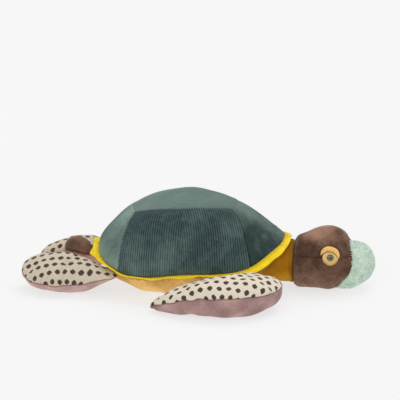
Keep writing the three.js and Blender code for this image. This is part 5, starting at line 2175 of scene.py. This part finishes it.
@dataclass
class Limbs:
    """The four flippers and the tail."""

    finishes: Finishes
    tools: NodeTools

    def build(self) -> None:
        """Makes them all."""
        for side in Side:
            self._front_flipper(side)
            self._rear_flipper(side)
        self._tail()

    def _front_flipper(self, side: Side) -> None:
        """Makes a front flipper. The left one is sewn on farther back and filled less.

        Args:
            side: its side.
        """
        left = side is Side.LEFT
        root = BODY.rim_point(np.array(side.value * math.radians(38)))
        PillowLimb(
            self.finishes,
            self.tools,
            f"front_{side.word}_flipper",
            side,
            FRONT_OUTLINE,
            (0.27, 0.614, 0.95),
            (float(root[0]) - 14 * left, float(root[1])),
            length=153,
            width=127,
            seam_height=36,
            rise=22,
            filling=Filling(rows=32, columns=100, slack=0.02, cap=0.8 if left else 2.2),
            under_pinch=0.5,
            seed=100 + 20 * left,
        ).build()

    def _rear_flipper(self, side: Side) -> None:
        """Makes a rear flipper. The left one is shorter and more pointed.

        Args:
            side: its side.
        """
        left = side is Side.LEFT
        root = BODY.rim_point(np.array(side.value * math.radians(143)))
        PillowLimb(
            self.finishes,
            self.tools,
            f"rear_{side.word}_flipper",
            side,
            REAR_OUTLINES[side],
            (0.52, -0.23 if left else -0.24, 0.7),
            (float(root[0]), float(root[1])),
            length=142,
            width=88,
            seam_height=43,
            rise=20 if left else 17,
            tilt_deg=16,
            cloths=("spotted_cotton_rear", "pink_velvet"),
            # The rear flippers' velvet is painted lighter than the front ones'.
            nap=0.9,
            seed=140 + 20 * left,
        ).build()

    def _tail(self) -> None:
        """Makes the tail, a small brown tongue."""
        left = [(a, -c, h, p) for a, c, h, p in reversed(TAIL_OUTLINE)]
        PillowLimb(
            self.finishes,
            self.tools,
            "tail",
            Side.RIGHT,
            (*TAIL_OUTLINE, (1, 0, 1, 1), *left),
            (0.62, 0, 1),
            (-BODY.rear_reach, 0),
            length=52,
            width=15,
            seam_height=51,
            rise=18,
            depth=5,
            slots=("brown_pile", "brown_pile"),
            cloths=("brown_pile", "brown_pile"),
            thread="brown_thread",
            columns=150,
            rows=30,
            lump=0.15,
            pucker=0.15,
            gather=0.1,
            nap=0.24,
            seed=200,
        ).build()


@dataclass(frozen=True)
class Sun:
    """A light from far off, as wide as an angle."""

    name: str
    turn_deg: tuple[float, float, float]
    strength: float
    width_deg: float

    def hang(self) -> None:
        """Puts the light in the scene."""
        data = bpy.data.lights.new(self.name, "SUN")
        data.energy = self.strength
        data.angle = math.radians(self.width_deg)
        light = bpy.data.objects.new(self.name, data)
        light.rotation_euler = tuple(math.radians(d) for d in self.turn_deg)
        bpy.context.collection.objects.link(light)


@dataclass
class Studio:
    """Floor, light and camera."""

    azimuth_deg: float = 5.0
    elevation_deg: float = 15.0
    distance: float = 15.0
    pixel: float = 0.0015
    pixels: int = 400
    sensor: float = 36.0
    floor: float = 0.921
    floor_reach: float = 14.0
    glow: float = 0.695
    sky: float = 0.62
    suns: tuple[Sun, ...] = (
        Sun("key", (-28, 14, 0), 1.2, 50),
        Sun("fill", (55, -10, 0), 0.65, 60),
        Sun("catch", (88, 0, 4), 0.08, 5),
    )

    def camera(self) -> None:
        """Sets the camera at the photograph's angle and frame."""
        a, e = math.radians(self.azimuth_deg), math.radians(self.elevation_deg)
        back = Vector((math.sin(a) * math.cos(e), -math.cos(a) * math.cos(e), math.sin(e)))
        up = Vector((-math.sin(a) * math.sin(e), math.cos(a) * math.sin(e), math.cos(e)))
        right = Vector((math.cos(a), math.sin(a), 0))
        target = Vector((0.015, 0, 0)) + right * self.pixel + up * (83.5 * self.pixel)
        data = bpy.data.cameras.new("camera")
        data.sensor_width = self.sensor
        data.lens = self.sensor * self.distance / (self.pixels * self.pixel)
        camera = bpy.data.objects.new("camera", data)
        camera.location = target + back * self.distance
        camera.rotation_mode = "QUATERNION"
        camera.rotation_quaternion = (-back).to_track_quat("-Z", "Y")
        bpy.context.collection.objects.link(camera)
        bpy.context.scene.camera = camera

    def build(self) -> None:
        """Sets floor, world and lights."""
        self._floor()
        self._world()
        for sun in self.suns:
            sun.hang()
        settings = bpy.context.scene.view_settings
        settings.view_transform = "Standard"
        settings.look = "None"

    def _floor(self) -> None:
        """A wide pale floor."""
        corners = np.array([(-1, -1, 0), (1, -1, 0), (1, 1, 0), (-1, 1, 0)]) * self.floor_reach / MM
        floor = new_piece("floor", corners, [], [(0, 1, 2, 3)])
        b = PaintBench("floor_paper")
        tone = b.span(b.noise(b.place(), 3.0, 2.0), 0.3, 0.7)
        paper = b.mix(tone, (0.22, 0.22, 0.22, 1), (0.222, 0.222, 0.222, 1))
        constants = {"Emission Color": (1, 1, 1, 1), "Emission Strength": self.glow, "Roughness": 1.0}
        for key, value in {"Base Color": paper, **constants, "Specular IOR Level": 0.0}.items():
            b.feed(b.shader.inputs[key], value)
        floor.data.materials.append(b.material)

    def _world(self) -> None:
        """An even pale world, seen by the camera at the floor's own tone."""
        world = bpy.data.worlds.new("studio")
        world.use_nodes = True
        world.node_tree.nodes.clear()
        b = Bench(world.node_tree)
        lit = b.node("ShaderNodeBackground", {"Color": (1, 1, 1, 1), "Strength": self.sky})
        tone = (self.floor, self.floor, self.floor, 1)
        seen = b.node("ShaderNodeBackground", {"Color": tone, "Strength": 1.0})
        ray = b.node("ShaderNodeLightPath").outputs["Is Camera Ray"]
        mixed = b.node("ShaderNodeMixShader", {0: ray, 1: lit.outputs[0], 2: seen.outputs[0]})
        b.node("ShaderNodeOutputWorld", {"Surface": mixed.outputs[0]})
        bpy.context.scene.world = world


def main() -> None:
    """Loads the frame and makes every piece."""
    logging.basicConfig(level=logging.INFO, format="%(name)s: %(message)s")
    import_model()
    studio = Studio()
    studio.camera()
    finishes, tools = Finishes(), NodeTools()
    Shell(finishes, tools).build()
    Rim(finishes, tools).build()
    Belly(finishes).build()
    Neck(finishes).build()
    Head(finishes, tools).build()
    Limbs(finishes, tools).build()
    for side in Side:
        washer = bpy.data.objects[f"eye_washer_{side.word}"]
        for slot in washer.material_slots:
            slot.material = finishes["yellow_thread"]
    studio.build()


if __name__ == "__main__":
    main()
